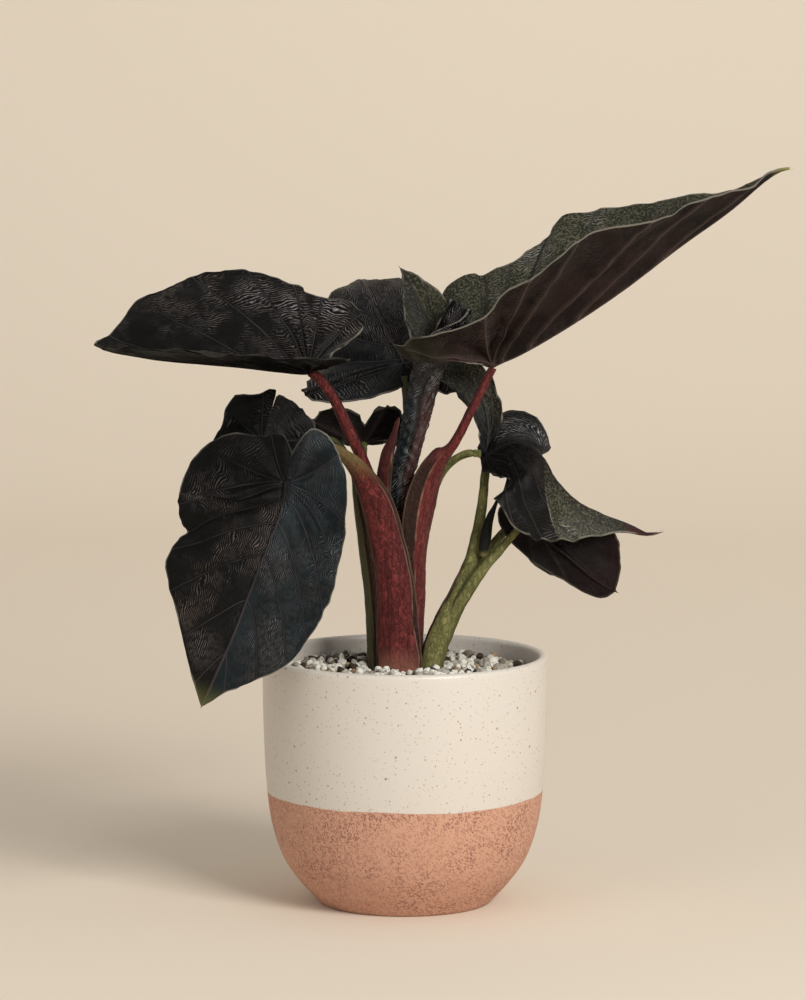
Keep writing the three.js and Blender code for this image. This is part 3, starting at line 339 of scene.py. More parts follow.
# Stalks. They follow the solids, and the sheaths are drawn finer here. Each has stations of
# [x, y, z, width, depth], the way its rounded side faces, how deep its inner side is hollowed
# (groove), where its brown wings start on both sides as cosines and where they end in height
# (wings), and the heights between which it turns green (greening) and stops being pale (foot).
STALKS = {
    "front_left_stalk": {
        "skin": "red", "outward": (-0.2, -1, 0), "groove": 0.72, "wings": (-0.86, 0.84, 236),
        "greening": (222, 240), "foot": (115, 140),
        "stations": [[-4, -5, STALK_FOOT, 22, 10], [-3, -8, 125, 25, 11], [-4, -8, 150, 23.5, 10.5],
                     [-5.5, -8, 170, 22, 10], [-8.5, -8, 188, 20, 9], [-14, -9, 211, 18, 8],
                     [-21, -13, 226, 13, 7], [-30, -22, 238, 7.5, 6], [-41, -36, 245, 5, 5],
                     [-52, -50, 242, 4.5, 4.5], [-60, -57, 231, 4, 4]],
    },
    "upper_right_stalk": {
        "skin": "red", "outward": (0.7, -0.7, 0), "groove": 0.72, "wings": (-0.3, 0.92, 243),
        "stations": [[4, 2, STALK_FOOT, 12, 8], [4, 2, 131, 13, 8], [4.5, 2, 160, 15, 8],
                     [4.5, 1, 186, 18, 8], [7, 0, 208, 23, 8], [11.6, 0, 225, 20, 7],
                     [17.8, -1, 236, 13.4, 6.5], [21.6, -1.5, 239, 8.4, 6.2],
                     [25, -2, 243, 6.4, 6], [34.5, -2, 261, 5.6, 5.4],
                     [41.5, -2, 275, 5.2, 5], [45.5, -2, 283, 4.8, 4.6]],
    },
    "back_left_stalk": {
        "skin": "olive", "outward": (-1, -0.3, 0), "groove": 0.6, "wings": (-0.9, 0.8, 236),
        "stations": [[-14, 1, STALK_FOOT, 12, 9], [-15, 1, 125, 12, 9], [-16.5, 2, 160, 12, 9],
                     [-19.5, 3, 185, 12, 9], [-23.5, 4, 210, 9, 7], [-26, 2, 228, 6, 5.5],
                     [-31, -3, 241, 5, 5], [-39, -8, 247, 4.4, 4.4], [-49, -10, 250, 4.2, 4.2],
                     [-62, -13, 249.5, 4, 4], [-72, -17, 247.5, 4, 4]],
    },
    "upper_left_stalk": {
        "skin": "red", "outward": (0, -1, 0),
        "stations": [[-6, 5, STALK_FOOT, 7, 6], [-7, 5, 133, 7, 6], [-10, 5, 160, 7, 6],
                     [-12, 5, 186, 7, 6], [-15, 3, 208, 6.5, 6], [-20, -2, 229, 6, 5.5],
                     [-30, -9, 252, 6, 5.4], [-39, -14, 271, 5.4, 5], [-45, -17, 279, 5, 4.8],
                     [-49, -19, 282, 4.6, 4.6]],
    },
    "newest_leaf_stalk": {
        "skin": "red", "outward": (0, -1, 0),
        "stations": [[-1, 11, STALK_FOOT, 7, 7], [-1, 11, 140, 7, 7], [-2, 9, 175, 7, 7],
                     [-3, 5, 198, 7, 7], [-3, 4, 206, 7, 7]],
    },
    "back_stalk": {
        "skin": "olive", "outward": (0, 1, 0),
        "stations": [[-3, 19, STALK_FOOT, 8, 7], [-3, 18, 158, 7, 6], [-1, 18, 211, 6, 5.5],
                     [2, 18, 248, 5, 5], [1, 18, 264, 4.5, 4.5], [0, 19, 272, 4, 4],
                     [-0.5, 19.5, 276.5, 3.6, 3.6]],
    },
    "drooping_stalk": {
        "skin": "green", "outward": (-1, 0.3, 0),
        "stations": [[-11, 13, STALK_FOOT, 8, 7], [-12, 13, 150, 7, 6], [-14, 14, 190, 6, 5.5],
                     [-19, 17, 218, 5, 5], [-22, 21, 232, 4.4, 4.4], [-22, 26.5, 242, 4, 4]],
    },
    "right_stalk": {
        "skin": "green", "outward": (1, 0, 0),
        "stations": [[6, 12, STALK_FOOT, 8, 6], [6, 11, 150, 7, 5.5], [7, 11, 191, 6, 5],
                     [13, 12, 212, 5, 4.5], [19, 12, 225, 4.2, 4.2], [26, 11, 233, 4, 4],
                     [33, 9, 236.5, 4, 4], [40, 8.6, 236.4, 3.8, 3.8]],
    },
}

OFFSET_STALKS = [
    {"skin": "green", "outward": (0, -1, 0), "wings": (-0.78, 2, 186),
     "stations": [[14, -3, STALK_FOOT, 12, 10], [14, -3, 128, 13, 11], [20, -1, 146, 13, 11],
                  [28.5, 2, 163, 11, 10], [35, 6, 180, 8, 7], [38.5, 10, 196, 6, 5.5],
                  [41, 13, 212, 5, 5], [42, 15, 223, 4.6, 4.6], [43, 17, 231.5, 4.2, 4.2]]},
    {"skin": "green", "outward": (0, -1, 0),
     "stations": [[18, -2, 140, 6, 6], [30, -3, 161, 7, 6], [40, -3, 176, 6, 5.5],
                  [50, -1, 187, 4.6, 4.6], [58, 1, 196, 4.2, 4.2], [64, 3, 202, 4, 4]]},
    {"skin": "green", "outward": (0, -1, 0),
     "stations": [[21, 2, 148, 6, 6], [31, 4, 166, 6, 6], [41, 8, 181, 5, 5],
                  [49, 12, 191, 4.4, 4.4], [56, 14, 198, 4.2, 4.2], [63, 16, 203, 4, 4]]},
]

BRACTS = {
    "crown_bract": {
        "outward": (-0.5, -1, 0), "groove": 0.75, "wings": (-0.8, 0.8, 270),
        "stations": [[-10, -1, 205, 7, 5], [-11, -3, 220, 9, 6], [-9, -5, 237, 8, 5],
                     [-6, -5, 246, 5, 4], [-3, -4, 257, 1, 1]],
    },
    "offset_spike": {
        "outward": (0, -1, 0), "greening": (187, 183),
        "stations": [[41, 0, 183, 4, 3], [42, 1, 191, 6, 4], [44.5, 2, 203, 4.2, 3.2],
                     [49, 2, 214, 0.8, 0.8]],
    },
}

# Settings that colour each skin: pale parts, net, wings, rims, green ends and foot
STALK_SKINS = {
    "red_stalk": ("red", "red_dark", "red_wing", "rim", "greening", "foot"),
    "green_stalk": ("green", "green_dark", "green_wing", "rim", "greening", "foot"),
    "olive_stalk": ("sheath", "green_dark", "green_wing", "rim", "greening", "foot"),
    "bract": ("bract", "red_dark", "red_wing", "rim", "greening", "foot"),
    "dark_spike": ("spike", "spike", "spike", "green", "green", "green"),
}

# The newest leaf, rolled around its axis: stations of [distance, radius] and of [distance,
# degrees of the roll], the degrees where the roll starts and the share of the radius inside.
NEWEST_LEAF = {
    "axis": [[-3, 4, 207], [-2, 4, 220], [2.5, 3, 239], [8, 2, 262], [14, 3, 285], [21, 4, 303],
             [28, 5, 316]],
    "radius": [[0, 5], [30, 7], [80, 8.8], [112, 7.5]],
    "core_share": 0.56,
    "turn_start": 200,
    "turn_length": [[0, 430], [70, 400], [90, 300], [112, 200]],
}


# Curves and noise

def catmull(points, steps=SPLINE_STEPS):
    """Points of a centripetal Catmull-Rom curve, the same number between each two corners."""
    corners = np.asarray(points, float)
    first = 2 * corners[0] - corners[1]
    last = 2 * corners[-1] - corners[-2]
    corners = np.vstack([first, corners, last])
    made = []
    share = np.linspace(0, 1, steps, endpoint=False)[:, None]
    for p0, p1, p2, p3 in zip(corners, corners[1:], corners[2:], corners[3:]):
        d0, d1, d2 = (max(math.sqrt(np.linalg.norm(b - a)), 1e-6)
                      for a, b in ((p0, p1), (p1, p2), (p2, p3)))
        t1 = ((p1 - p0) / d0 - (p2 - p0) / (d0 + d1) + (p2 - p1) / d1) * d1
        t2 = ((p2 - p1) / d1 - (p3 - p1) / (d1 + d2) + (p3 - p2) / d2) * d1
        c2 = -3 * p1 + 3 * p2 - 2 * t1 - t2
        c3 = 2 * p1 - 2 * p2 + t1 + t2
        made.append(p1 + t1 * share + c2 * share**2 + c3 * share**3)
    made.append(corners[-2:-1])
    return np.vstack(made)


def lengths_of(points):
    """The distance along a row of points at each of them."""
    steps = np.linalg.norm(np.diff(points, axis=0), axis=1)
    return np.concatenate([[0], np.cumsum(steps)])


def read_at(places, values, where):
    """values, one row for each place, read at other places."""
    where = np.asarray(where, float)
    columns = [np.interp(where, places, values[:, i]) for i in range(values.shape[1])]
    return np.stack(columns, -1)


def unit(vectors):
    """Vectors made one long."""
    size = np.linalg.norm(vectors, axis=-1, keepdims=True)
    return vectors / np.maximum(size, 1e-9)


def smooth(value, low, high):
    """An eased step from 0 at low to 1 at high."""
    share = np.clip((value - low) / (high - low), 0, 1)
    return share * share * (3 - 2 * share)


def eased(stations, where):
    """Values read from stations of [place, value, ...], eased between them."""
    stations = np.asarray(stations, float)
    where = np.asarray(where, float)
    shares = np.interp(where, stations[:, 0], np.arange(len(stations)))
    before = np.minimum(shares.astype(int), len(stations) - 2)
    share = smooth(shares - before, 0, 1)[..., None]
    return stations[before, 1:] * (1 - share) + stations[before + 1, 1:] * share


def wander(points, reach, seed):
    """Smooth noise from about -1 to 1 at points, with hills about reach wide."""
    draw = np.random.default_rng(seed)
    total = np.zeros(points.shape[:-1])
    waves = 8
    for _ in range(waves):
        way = draw.normal(size=points.shape[-1])
        way /= np.linalg.norm(way)
        pace = draw.uniform(0.6, 1.5) * math.tau / (2 * reach)
        total += np.sin(points @ way * pace + draw.uniform(0, math.tau))
    return total / math.sqrt(waves)


# Meshes

class Surface:
    """Points, faces and their values, gathered piece by piece and then made into an object."""

    def __init__(self):
        self.points = []
        self.values = {}
        self.faces = []
        self.corner_phase = []
        self.slots = []
        self.places = []
        self.count = 0

    def add_points(self, points, **values):
        """Adds points with their values and gives back the number of the first."""
        flat = points.reshape(-1, 3)
        start = self.count
        self.points.append(flat)
        for name in set(self.values) | set(values):
            given = values.get(name)
            filled = np.zeros(len(flat)) if given is None else np.broadcast_to(given, points.shape[:-1])
            self.values.setdefault(name, [np.zeros(start)] if start else [])
            self.values[name].append(np.asarray(filled, float).reshape(-1))
        self.count += len(flat)
        return start

    def add_faces(self, faces, slot=0, phase=None, places=None):
        """Adds quads of point numbers, with a value and a map place at each corner if given."""
        faces = np.asarray(faces, int).reshape(-1, 4)
        self.faces.append(faces)
        self.slots.append(np.full(len(faces), slot))
        self.corner_phase.append(np.zeros(faces.shape) if phase is None else phase.reshape(-1, 4))
        empty = np.zeros((*faces.shape, 2))
        self.places.append(empty if places is None else places.reshape(-1, 4, 2))

    def ring_faces(self, start, columns, rows):
        """Adds the quads of a grid that closes on itself, whose points were added by column."""
        one = np.arange(columns)
        row = np.arange(rows - 1)
        a = start + one[:, None] * rows + row
        b = start + ((one + 1) % columns)[:, None] * rows + row
        self.add_faces(np.stack([a, b, b + 1, a + 1], -1))

    def to_object(self, name, materials, weld=True, mapped=False):
        """Makes the mesh, with equal points joined, and an object that wears the materials."""
        points = np.vstack(self.points)
        faces = np.vstack(self.faces)
        phases = np.vstack(self.corner_phase)
        slots = np.concatenate(self.slots)
        places = np.vstack(self.places)
        values = {key: np.concatenate(parts) for key, parts in self.values.items()}
        if weld:
            keys = np.round(points, 3)
            _, first, numbers = np.unique(keys, axis=0, return_index=True, return_inverse=True)
            numbers = numbers.reshape(-1)
            points = points[first]
            values = {key: found[first] for key, found in values.items()}
            faces = numbers[faces]
        following = np.roll(faces, -1, axis=1)
        kept_corners = faces != following
        used = kept_corners.sum(1) >= 3
        faces, phases, slots = faces[used], phases[used], slots[used]
        places, kept_corners = places[used], kept_corners[used]
        mesh = bpy.data.meshes.new(name)
        mesh.from_pydata(
            (points * MM).tolist(), [],
            [face[kept].tolist() for face, kept in zip(faces, kept_corners)],
        )
        mesh.polygons.foreach_set("use_smooth", np.ones(len(faces), bool))
        mesh.polygons.foreach_set("material_index", slots.astype(np.int32))
        for key, found in values.items():
            layer = mesh.attributes.new(key, "FLOAT", "POINT")
            layer.data.foreach_set("value", found.astype(np.float32))
        if len(mesh.loops) != kept_corners.sum():
            raise RuntimeError(f"{name}: faces were lost while the mesh was made")
        layer = mesh.attributes.new("phase", "FLOAT", "CORNER")
        layer.data.foreach_set("value", phases[kept_corners].astype(np.float32))
        if mapped:
            layer = mesh.uv_layers.new(name="OFBake")
            layer.uv.foreach_set("vector", places[kept_corners].astype(np.float32).ravel())
        for surface in materials:
            mesh.materials.append(surface)
        mesh.validate(clean_customdata=False)
        made = bpy.data.objects.new(name, mesh)
        bpy.context.scene.collection.objects.link(made)
        return made


def place_piece(piece, nodes):
    """Lets a piece ride on the part and stand for nodes of the frame."""
    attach(piece, BODY)
    if nodes:
        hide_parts(*nodes)


# Shader helpers

class Shading:
    """A material's node tree, or a group's, with short ways to add to it."""

    def __init__(self, tree):
        self.tree = tree

    def add(self, kind, inputs=None, **settings):
        """Adds a node, with values or links for its inputs."""
        node = self.tree.nodes.new(kind)
        for key, value in settings.items():
            setattr(node, key, value)
        for key, value in (inputs or {}).items():
            self.feed(node.inputs[key], value)
        return node

    def feed(self, socket, value):
        """Sets an input to a value or a colour, or links it."""
        if isinstance(value, bpy.types.NodeSocket):
            self.tree.links.new(value, socket)
        elif socket.type == "RGBA":
            socket.default_value = (*value, 1)
        else:
            socket.default_value = value

    def math(self, operation, first, second=0.0, third=0.0, clamp=False):
        """A Math node's result."""
        node = self.add("ShaderNodeMath", {0: first, 1: second, 2: third}, operation=operation)
        node.use_clamp = clamp
        return node.outputs[0]

    def times(self, first, second):
        """The product of two values."""
        return self.math("MULTIPLY", first, second)

    def times_add(self, first, second, third):
        """The product of two values, with a third added."""
        return self.math("MULTIPLY_ADD", first, second, third)

    def step(self, value, low, high, start=0.0, end=1.0):
        """A value eased from start at low to end at high."""
        node = self.add(
            "ShaderNodeMapRange",
            {"Value": value, "From Min": low, "From Max": high, "To Min": start, "To Max": end},
            interpolation_type="SMOOTHSTEP",
        )
        return node.outputs["Result"]

    def blend(self, share, first, second, kind="MIX"):
        """Two colours mixed by a share."""
        node = self.add("ShaderNodeMix", data_type="RGBA", blend_type=kind)
        self.feed(node.inputs[0], share)
        self.feed(node.inputs[6], first)
        self.feed(node.inputs[7], second)
        return node.outputs[2]

    def noise(self, vector, scale, detail=3.0, roughness=0.5, distortion=0.0):
        """A noise texture's value."""
        node = self.add(
            "ShaderNodeTexNoise",
            {"Vector": vector, "Scale": scale, "Detail": detail, "Roughness": roughness,
             "Distortion": distortion},
        )
        return node.outputs["Fac"]

    def value_of(self, name):
        """The value that the mesh carries under a name."""
        return self.add("ShaderNodeAttribute", attribute_name=name).outputs["Fac"]

    def place(self):
        """The place on the object, in metres."""
        return self.add("ShaderNodeTexCoord").outputs["Object"]


def new_material(name):
    """A material with its shading and its Principled BSDF."""
    made = bpy.data.materials.new(name)
    made.use_nodes = True
    surface = made.node_tree.nodes["Principled BSDF"]
    return made, Shading(made.node_tree), surface


def new_group(name, inputs, outputs):
    """A shader node group with float, vector or colour sockets."""
    tree = bpy.data.node_groups.new(name, "ShaderNodeTree")
    kinds = {"float": "NodeSocketFloat", "vector": "NodeSocketVector", "color": "NodeSocketColor"}
    for key, kind in inputs.items():
        tree.interface.new_socket(key, in_out="INPUT", socket_type=kinds[kind])
    for key, kind in outputs.items():
        tree.interface.new_socket(key, in_out="OUTPUT", socket_type=kinds[kind])
    shading = Shading(tree)
    return tree, shading, shading.add("NodeGroupInput").outputs, shading.add("NodeGroupOutput")


def use_group(shading, name, inputs):
    """Places a group in a material and gives its outputs."""
    node = shading.add("ShaderNodeGroup", node_tree=bpy.data.node_groups[name])
    for key, value in inputs.items():
        shading.feed(node.inputs[key], value)
    return node.outputs


def vein_group():
    """Masks of the ladder veins, the main veins and the margin, and the height of their relief."""
    tree, shading, given, made = new_group(
        "Leaf veins",
        {"Place": "vector", "Phase": "float", "Rib": "float", "Midrib": "float", "Margin": "float",
         "Line": "float", "Glint": "float"},
        {"Ladder": "float", "Ribs": "float", "Edge": "float", "Relief": "float"},
    )
    turn = shading.times(given["Phase"], math.tau)
    wave = shading.times_add(shading.math("COSINE", turn), 0.5, 0.5)
    line = shading.math("POWER", wave, given["Line"])
    clear = shading.step(given["Rib"], 0.3, 1.3)
    clear = shading.times(clear, shading.step(given["Margin"], 0.3, 2.0))
    patch = shading.step(shading.noise(given["Place"], 38.0, 3.0), 0.46, 0.68, 0.05, 1.0)
    breaks = shading.step(shading.noise(given["Place"], 420.0, 2.0), 0.36, 0.56, 0.2, 1.0)
    # Painted highlights: at the glint spots the fine veins show in full
    patch = shading.math("MAXIMUM", patch, given["Glint"])
    ladder = shading.times(shading.times(line, clear),
                          shading.times(patch, breaks))
    shading.feed(made.inputs["Ladder"], ladder)
    rib = shading.step(given["Rib"], 0.15, 0.55, 1.0, 0.0)
    spine = shading.step(given["Midrib"], 0.45, 0.95, 1.0, 0.0)
    ribs = shading.math("MAXIMUM", rib, spine)
    shading.feed(made.inputs["Ribs"], ribs)
    shading.feed(made.inputs["Edge"], shading.step(given["Margin"], 0.35, 0.9, 1.0, 0.0))
    relief = shading.times_add(ribs, 0.6, ladder)
    shading.feed(made.inputs["Relief"], relief)
    return tree


def mottle_group():
    """Blots at two sizes with soft edges, and a net of thin lines."""
    tree, shading, given, made = new_group(
        "Mottle", {"Place": "vector", "Size": "float", "Cover": "float"},
        {"Blots": "float", "Grain": "float", "Net": "float"},
    )
    scale = shading.math("DIVIDE", 1.0, given["Size"])
    broad = shading.noise(given["Place"], scale, 4.0, 0.6, 0.6)
    fine = shading.noise(given["Place"], shading.times(scale, 5.0), 3.0, 0.6)
    both = shading.times_add(fine, 0.35, shading.times(broad, 0.65))
    edge = shading.math("SUBTRACT", 1.0, given["Cover"])
    low = shading.times_add(edge, 0.4, 0.27)
    high = shading.math("ADD", low, 0.1)
    shading.feed(made.inputs["Blots"], shading.step(both, low, high))
    shading.feed(made.inputs["Grain"], fine)
    away = shading.math("ABSOLUTE", shading.math("SUBTRACT", broad, 0.5))
    shading.feed(made.inputs["Net"], shading.step(away, 0.0, 0.075, 1.0, 0.0))
    return tree


def speck_group():
    """Small round specks with uneven sizes, scattered sparsely."""
    tree, shading, given, made = new_group(
        "Specks", {"Place": "vector", "Spacing": "float", "Size": "float", "Cover": "float"},
        {"Specks": "float"},
    )
    scale = shading.math("DIVIDE", 1.0, given["Spacing"])
    bent = shading.add("ShaderNodeTexNoise", {"Vector": given["Place"], "Scale": 900.0, "Detail": 2.0})
    shift = shading.add("ShaderNodeVectorMath", {0: bent.outputs["Color"], 1: (0.5, 0.5, 0.5)},
                        operation="SUBTRACT")
    moved = shading.add("ShaderNodeVectorMath", {0: shift.outputs[0]}, operation="SCALE")
    shading.feed(moved.inputs["Scale"], shading.times(given["Size"], 1.2))
    place = shading.add("ShaderNodeVectorMath", {0: given["Place"], 1: moved.outputs[0]},
                        operation="ADD")
    cells = shading.add("ShaderNodeTexVoronoi", {"Vector": place.outputs[0], "Scale": scale})
    parts = shading.add("ShaderNodeSeparateColor", {0: cells.outputs["Color"]})
    there = shading.math("LESS_THAN", parts.outputs[0], given["Cover"])
    reach = shading.times(shading.math("DIVIDE", given["Size"], given["Spacing"]),
                         shading.times_add(parts.outputs[1], 0.8, 0.3))
    inside = shading.step(cells.outputs["Distance"], shading.times(reach, 0.6), reach,
                          1.0, 0.0)
    shading.feed(made.inputs["Specks"], shading.times(inside, there))
    return tree


# Materials

def dress(shading, surface, skin, roughness, height, distance, strength=1.0):
    """Feeds a surface its colour, its roughness and a bump of a distance in metres."""
    bump = shading.add("ShaderNodeBump",
                       {"Strength": strength, "Distance": distance, "Height": height})
    shading.feed(surface.inputs["Base Color"], skin)
    shading.feed(surface.inputs["Roughness"], roughness)
    shading.feed(surface.inputs["Normal"], bump.outputs["Normal"])


def set_velvet(surface, looks):
    """A soft bloom on the skin."""
    surface.inputs["Sheen Weight"].default_value = looks.velvet
    surface.inputs["Sheen Roughness"].default_value = 0.5
    surface.inputs["Sheen Tint"].default_value = (*looks.velvet_tint, 1)


def vein_masks(shading, place, line, **more):
    """The masks and the relief of the veins, from the values that the blade carries."""
    return use_group(shading, "Leaf veins", {
        "Place": place, "Phase": shading.value_of("phase"), "Rib": shading.value_of("rib"),
        "Midrib": shading.value_of("spine"), "Margin": shading.value_of("margin"), "Line": line,
        **more,
    })


def leaf_top(name, looks, gloss, roughness):
    """The dark velvet upper side, with painted blue and grey green sheen, highlights and shade."""
    made, shading, surface = new_material(name)
    place = shading.place()
    glint = shading.value_of("glint")
    veins = vein_masks(shading, place, 4.0, Glint=glint)
    cloud = shading.step(shading.noise(place, 45.0, 3.0), 0.35, 0.65)
    # Painted sheen: blue on some halves and grey green on others, on the skin and on its fine veins
    olive = shading.value_of("olive")
    cool = shading.times(shading.value_of("cool"),
                        shading.times_add(cloud, 0.5, 0.6))
    skin = shading.blend(cool, looks.dark, looks.cool)
    skin = shading.blend(olive, skin, looks.olive)
    grains = shading.step(shading.noise(place, 850.0, 3.0, 0.7), 0.49, 0.60, 0.0, 0.55)
    skin = shading.blend(shading.times(olive, grains), skin, looks.olive_vein)
    skin = shading.blend(shading.value_of("maroon"), skin, looks.newest)
    # Fine veins: their own paler colour, partly a painted highlight on their ridges
    line = shading.blend(cool, looks.ladder, looks.blue_sheen_ladder)
    line = shading.blend(olive, line, looks.olive_vein)
    # Painted highlight: fine veins pale towards white at the glint spots
    line = shading.blend(shading.times(glint, 0.6), line, looks.glint)
    skin = shading.blend(veins["Ladder"], skin, line)
    rib = shading.times(veins["Ribs"], shading.times_add(cloud, 0.4, 0.5))
    skin = shading.blend(rib, skin, looks.rib)
    edge = shading.times(veins["Edge"],
                        shading.step(shading.noise(place, 60.0, 2.0), 0.38, 0.6))
    skin = shading.blend(shading.times(edge, looks.edge_strength), skin,
                         looks.edge)
    skin = shading.blend(shading.value_of("green"), skin, looks.tip)
    # Painted shade: spots and whole halves blended towards black, less where highlights are painted
    shade = shading.times(shading.value_of("shade"),
                         shading.math("SUBTRACT", 0.85, glint))
    skin = shading.blend(shade, skin, NIGHT)
    rough = shading.times_add(veins["Ladder"], -0.2, roughness)
    rough = shading.math("ADD", rough, shading.times(cloud, 0.06))
    surface.inputs["Specular IOR Level"].default_value = gloss
    grain = shading.noise(place, 2600.0, 2.0)
    height = shading.times_add(grain, 0.25, veins["Relief"])
    dress(shading, surface, skin, rough, height, 0.0005)
    set_velvet(surface, looks)
    return made


def leaf_underside(looks):
    """The maroon underside with raised veins and fine wrinkles across its panels."""
    made, shading, surface = new_material("leaf_underside")
    place = shading.place()
    veins = vein_masks(shading, place, 1.6)
    cloud = shading.step(shading.noise(place, 42.0, 4.0, 0.6), 0.36, 0.64)
    skin = shading.blend(cloud, looks.under_dark, looks.under)
    beside = shading.step(shading.value_of("rib"), 0.3, 2.4, 0.3, 0.0)
    skin = shading.blend(beside, skin, looks.under_rib)
    skin = shading.blend(shading.times(veins["Ladder"], 0.6), skin,
                         looks.under_rib)
    skin = shading.blend(shading.times(veins["Ribs"], 0.6), skin,
                         looks.under_rib)
    skin = shading.blend(shading.times(veins["Edge"], looks.edge_strength), skin,
                         looks.edge)
    skin = shading.blend(shading.value_of("green"), skin, looks.tip)
    skin = shading.blend(shading.value_of("lobe"), skin, looks.olive)
    skin = shading.blend(shading.times(shading.value_of("maroon"), 0.5), skin,
                         looks.newest)
    # Painted shade: spots and halves blended towards black
    skin = shading.blend(shading.times(shading.value_of("shade"), 0.8), skin,
                         NIGHT)
    surface.inputs["Specular IOR Level"].default_value = looks.gloss
    grain = shading.noise(place, 1500.0, 4.0, 0.65)
    wrinkle = shading.noise(place, 300.0, 3.0, 0.6, 1.2)
    height = shading.times_add(grain, 0.35, shading.times(veins["Relief"], 0.8))
    height = shading.times_add(wrinkle, 0.9, height)
    dress(shading, surface, skin, shading.times_add(cloud, 0.1, 0.44), height, 0.0007)
    set_velvet(surface, looks)
    return made


def stalk_skin(name, pale, dark, wing, rim, greening, foot):
    """A skin netted with dark lines, brown on the sheath's wings and pale along their rims."""
    made, shading, surface = new_material(name)
    place = shading.place()
    stretched = shading.add("ShaderNodeMapping", {"Vector": place, "Scale": (1.0, 1.0, 0.55)})
    net = use_group(shading, "Mottle", {"Place": stretched.outputs[0], "Size": 0.0021,
                                        "Cover": 0.5})
    broad = use_group(shading, "Mottle", {"Place": stretched.outputs[0], "Size": 0.009,
                                          "Cover": 0.5})
    middle = tuple((first + second) / 2 for first, second in zip(pale, dark))
    skin = shading.blend(shading.times(broad["Blots"], 0.35), pale, middle)
    skin = shading.blend(shading.times(net["Blots"], 0.35), skin, dark)
    skin = shading.blend(shading.times(net["Net"], 0.65), skin, dark)
    threads = shading.add("ShaderNodeMapping", {"Vector": place, "Scale": (1.0, 1.0, 0.06)})
    streaks = shading.noise(threads.outputs[0], 520.0, 3.0, 0.6)
    skin = shading.blend(shading.step(streaks, 0.46, 0.66, 0.0, 0.55), skin, dark)
    skin = shading.blend(shading.times(shading.value_of("foot"), 0.8), skin, foot)
    side = shading.step(shading.value_of("edge"), 0.55, 1.0, 0.0, 0.75)
    skin = shading.blend(side, skin, dark)
    brown = shading.blend(shading.times(net["Net"], 0.6), wing,
                          tuple(part * 0.35 for part in wing))
    skin = shading.blend(shading.value_of("wing"), skin, brown)
    skin = shading.blend(shading.times(shading.value_of("greening"), 0.8), skin,
                         greening)
    pale_rim = shading.times(shading.value_of("rim"),
                            shading.times_add(net["Grain"], 0.6, 0.45))
    skin = shading.blend(pale_rim, skin, rim)
    ridges = shading.noise(threads.outputs[0], 1100.0, 2.0)
    height = shading.times_add(ridges, 0.7, net["Grain"])
    height = shading.times_add(net["Net"], -0.8, height)
    dress(shading, surface, skin, shading.times_add(net["Grain"], 0.25, 0.36), height, 0.0003, 0.8)
    surface.inputs["Specular IOR Level"].default_value = 0.16
    return made


def ceramic(looks):
    """Cream speckled glaze above the glaze line and rosy speckled clay below it."""
    made, shading, surface = new_material("speckled_glaze_and_clay")
    place = shading.place()
    height = shading.add("ShaderNodeSeparateXYZ", {0: place}).outputs["Z"]
    bend = shading.noise(place, 18.0, 3.0)
    line = shading.times_add(shading.math("SUBTRACT", bend, 0.5), 0.004, height)
    glazed = shading.step(line, looks.glaze_line * MM - 0.0003, looks.glaze_line * MM + 0.0003)
    cloud = shading.noise(place, 14.0, 3.0)
    cream = shading.blend(cloud, looks.cream, looks.cream_deep)
    for spacing, size, cover, strength in GLAZE_SPECKS:
        layer = use_group(shading, "Specks", {"Place": place, "Spacing": spacing, "Size": size,
                                              "Cover": cover})
        cream = shading.blend(shading.times(layer["Specks"], strength), cream,
                              looks.speck)
    blots = use_group(shading, "Mottle", {"Place": place, "Size": 0.0011, "Cover": 0.36})
    patches = shading.step(shading.noise(place, 60.0, 3.0), 0.35, 0.65, 0.45, 1.0)
    broad = use_group(shading, "Mottle", {"Place": place, "Size": 0.005, "Cover": 0.5})
    dashes = []
    for turn in DASH_TURNS:
        turned = shading.add("ShaderNodeMapping",
                             {"Vector": place, "Rotation": turn, "Scale": (1.9, 0.7, 0.7)},
                             vector_type="TEXTURE")
        layer = use_group(shading, "Specks", {"Place": turned.outputs[0], "Spacing": 0.0014,
                                              "Size": 0.00078, "Cover": 0.75})
        dashes.append(layer["Specks"])
    dash = shading.math("MAXIMUM", shading.math("MAXIMUM", dashes[0], dashes[1]), dashes[2])
    clay = shading.blend(shading.times(broad["Blots"], 0.3), looks.clay,
                         looks.clay_deep)
    clay = shading.blend(shading.times(blots["Blots"], 0.3), clay, looks.clay_speck)
    dash = shading.times(shading.times(dash, patches), 0.95)
    clay = shading.blend(dash, clay, looks.clay_speck)
    rough_clay = shading.times_add(blots["Grain"], 0.1, 0.7)
    rough = shading.step(glazed, 0.0, 1.0, rough_clay, 0.36)
    waves = shading.noise(place, 60.0, 2.0)
    clay_relief = shading.times(blots["Grain"], shading.math("SUBTRACT", 1.0, glazed))
    relief = shading.times_add(clay_relief, 0.5, shading.times(waves, 0.6))
    dress(shading, surface, shading.blend(glazed, clay, cream), rough, relief, 0.0003, 0.5)
    return made


def perlite_skin(name, white, grey, dust):
    """Chalky grains with grey pits."""
    made, shading, surface = new_material(name)
    place = shading.place()
    tone = shading.value_of("tone")
    skin = shading.blend(tone, white, grey)
    pits = use_group(shading, "Mottle", {"Place": place, "Size": 0.0013, "Cover": 0.36})
    skin = shading.blend(shading.times(pits["Blots"], 0.75), skin, dust)
    pores = shading.noise(place, 1600.0, 4.0, 0.7)
    dress(shading, surface, skin, 0.85, pores, 0.0003, 0.8)
    return made


def soil_skin(looks):
    """Dark potting mix."""
    made, shading, surface = new_material("potting_mix")
    place = shading.place()
    bits = use_group(shading, "Mottle", {"Place": place, "Size": 0.002, "Cover": 0.4})
    skin = shading.blend(bits["Blots"], looks.soil, looks.soil_bits)
    dress(shading, surface, skin, 0.95, bits["Grain"], 0.001)
    return made


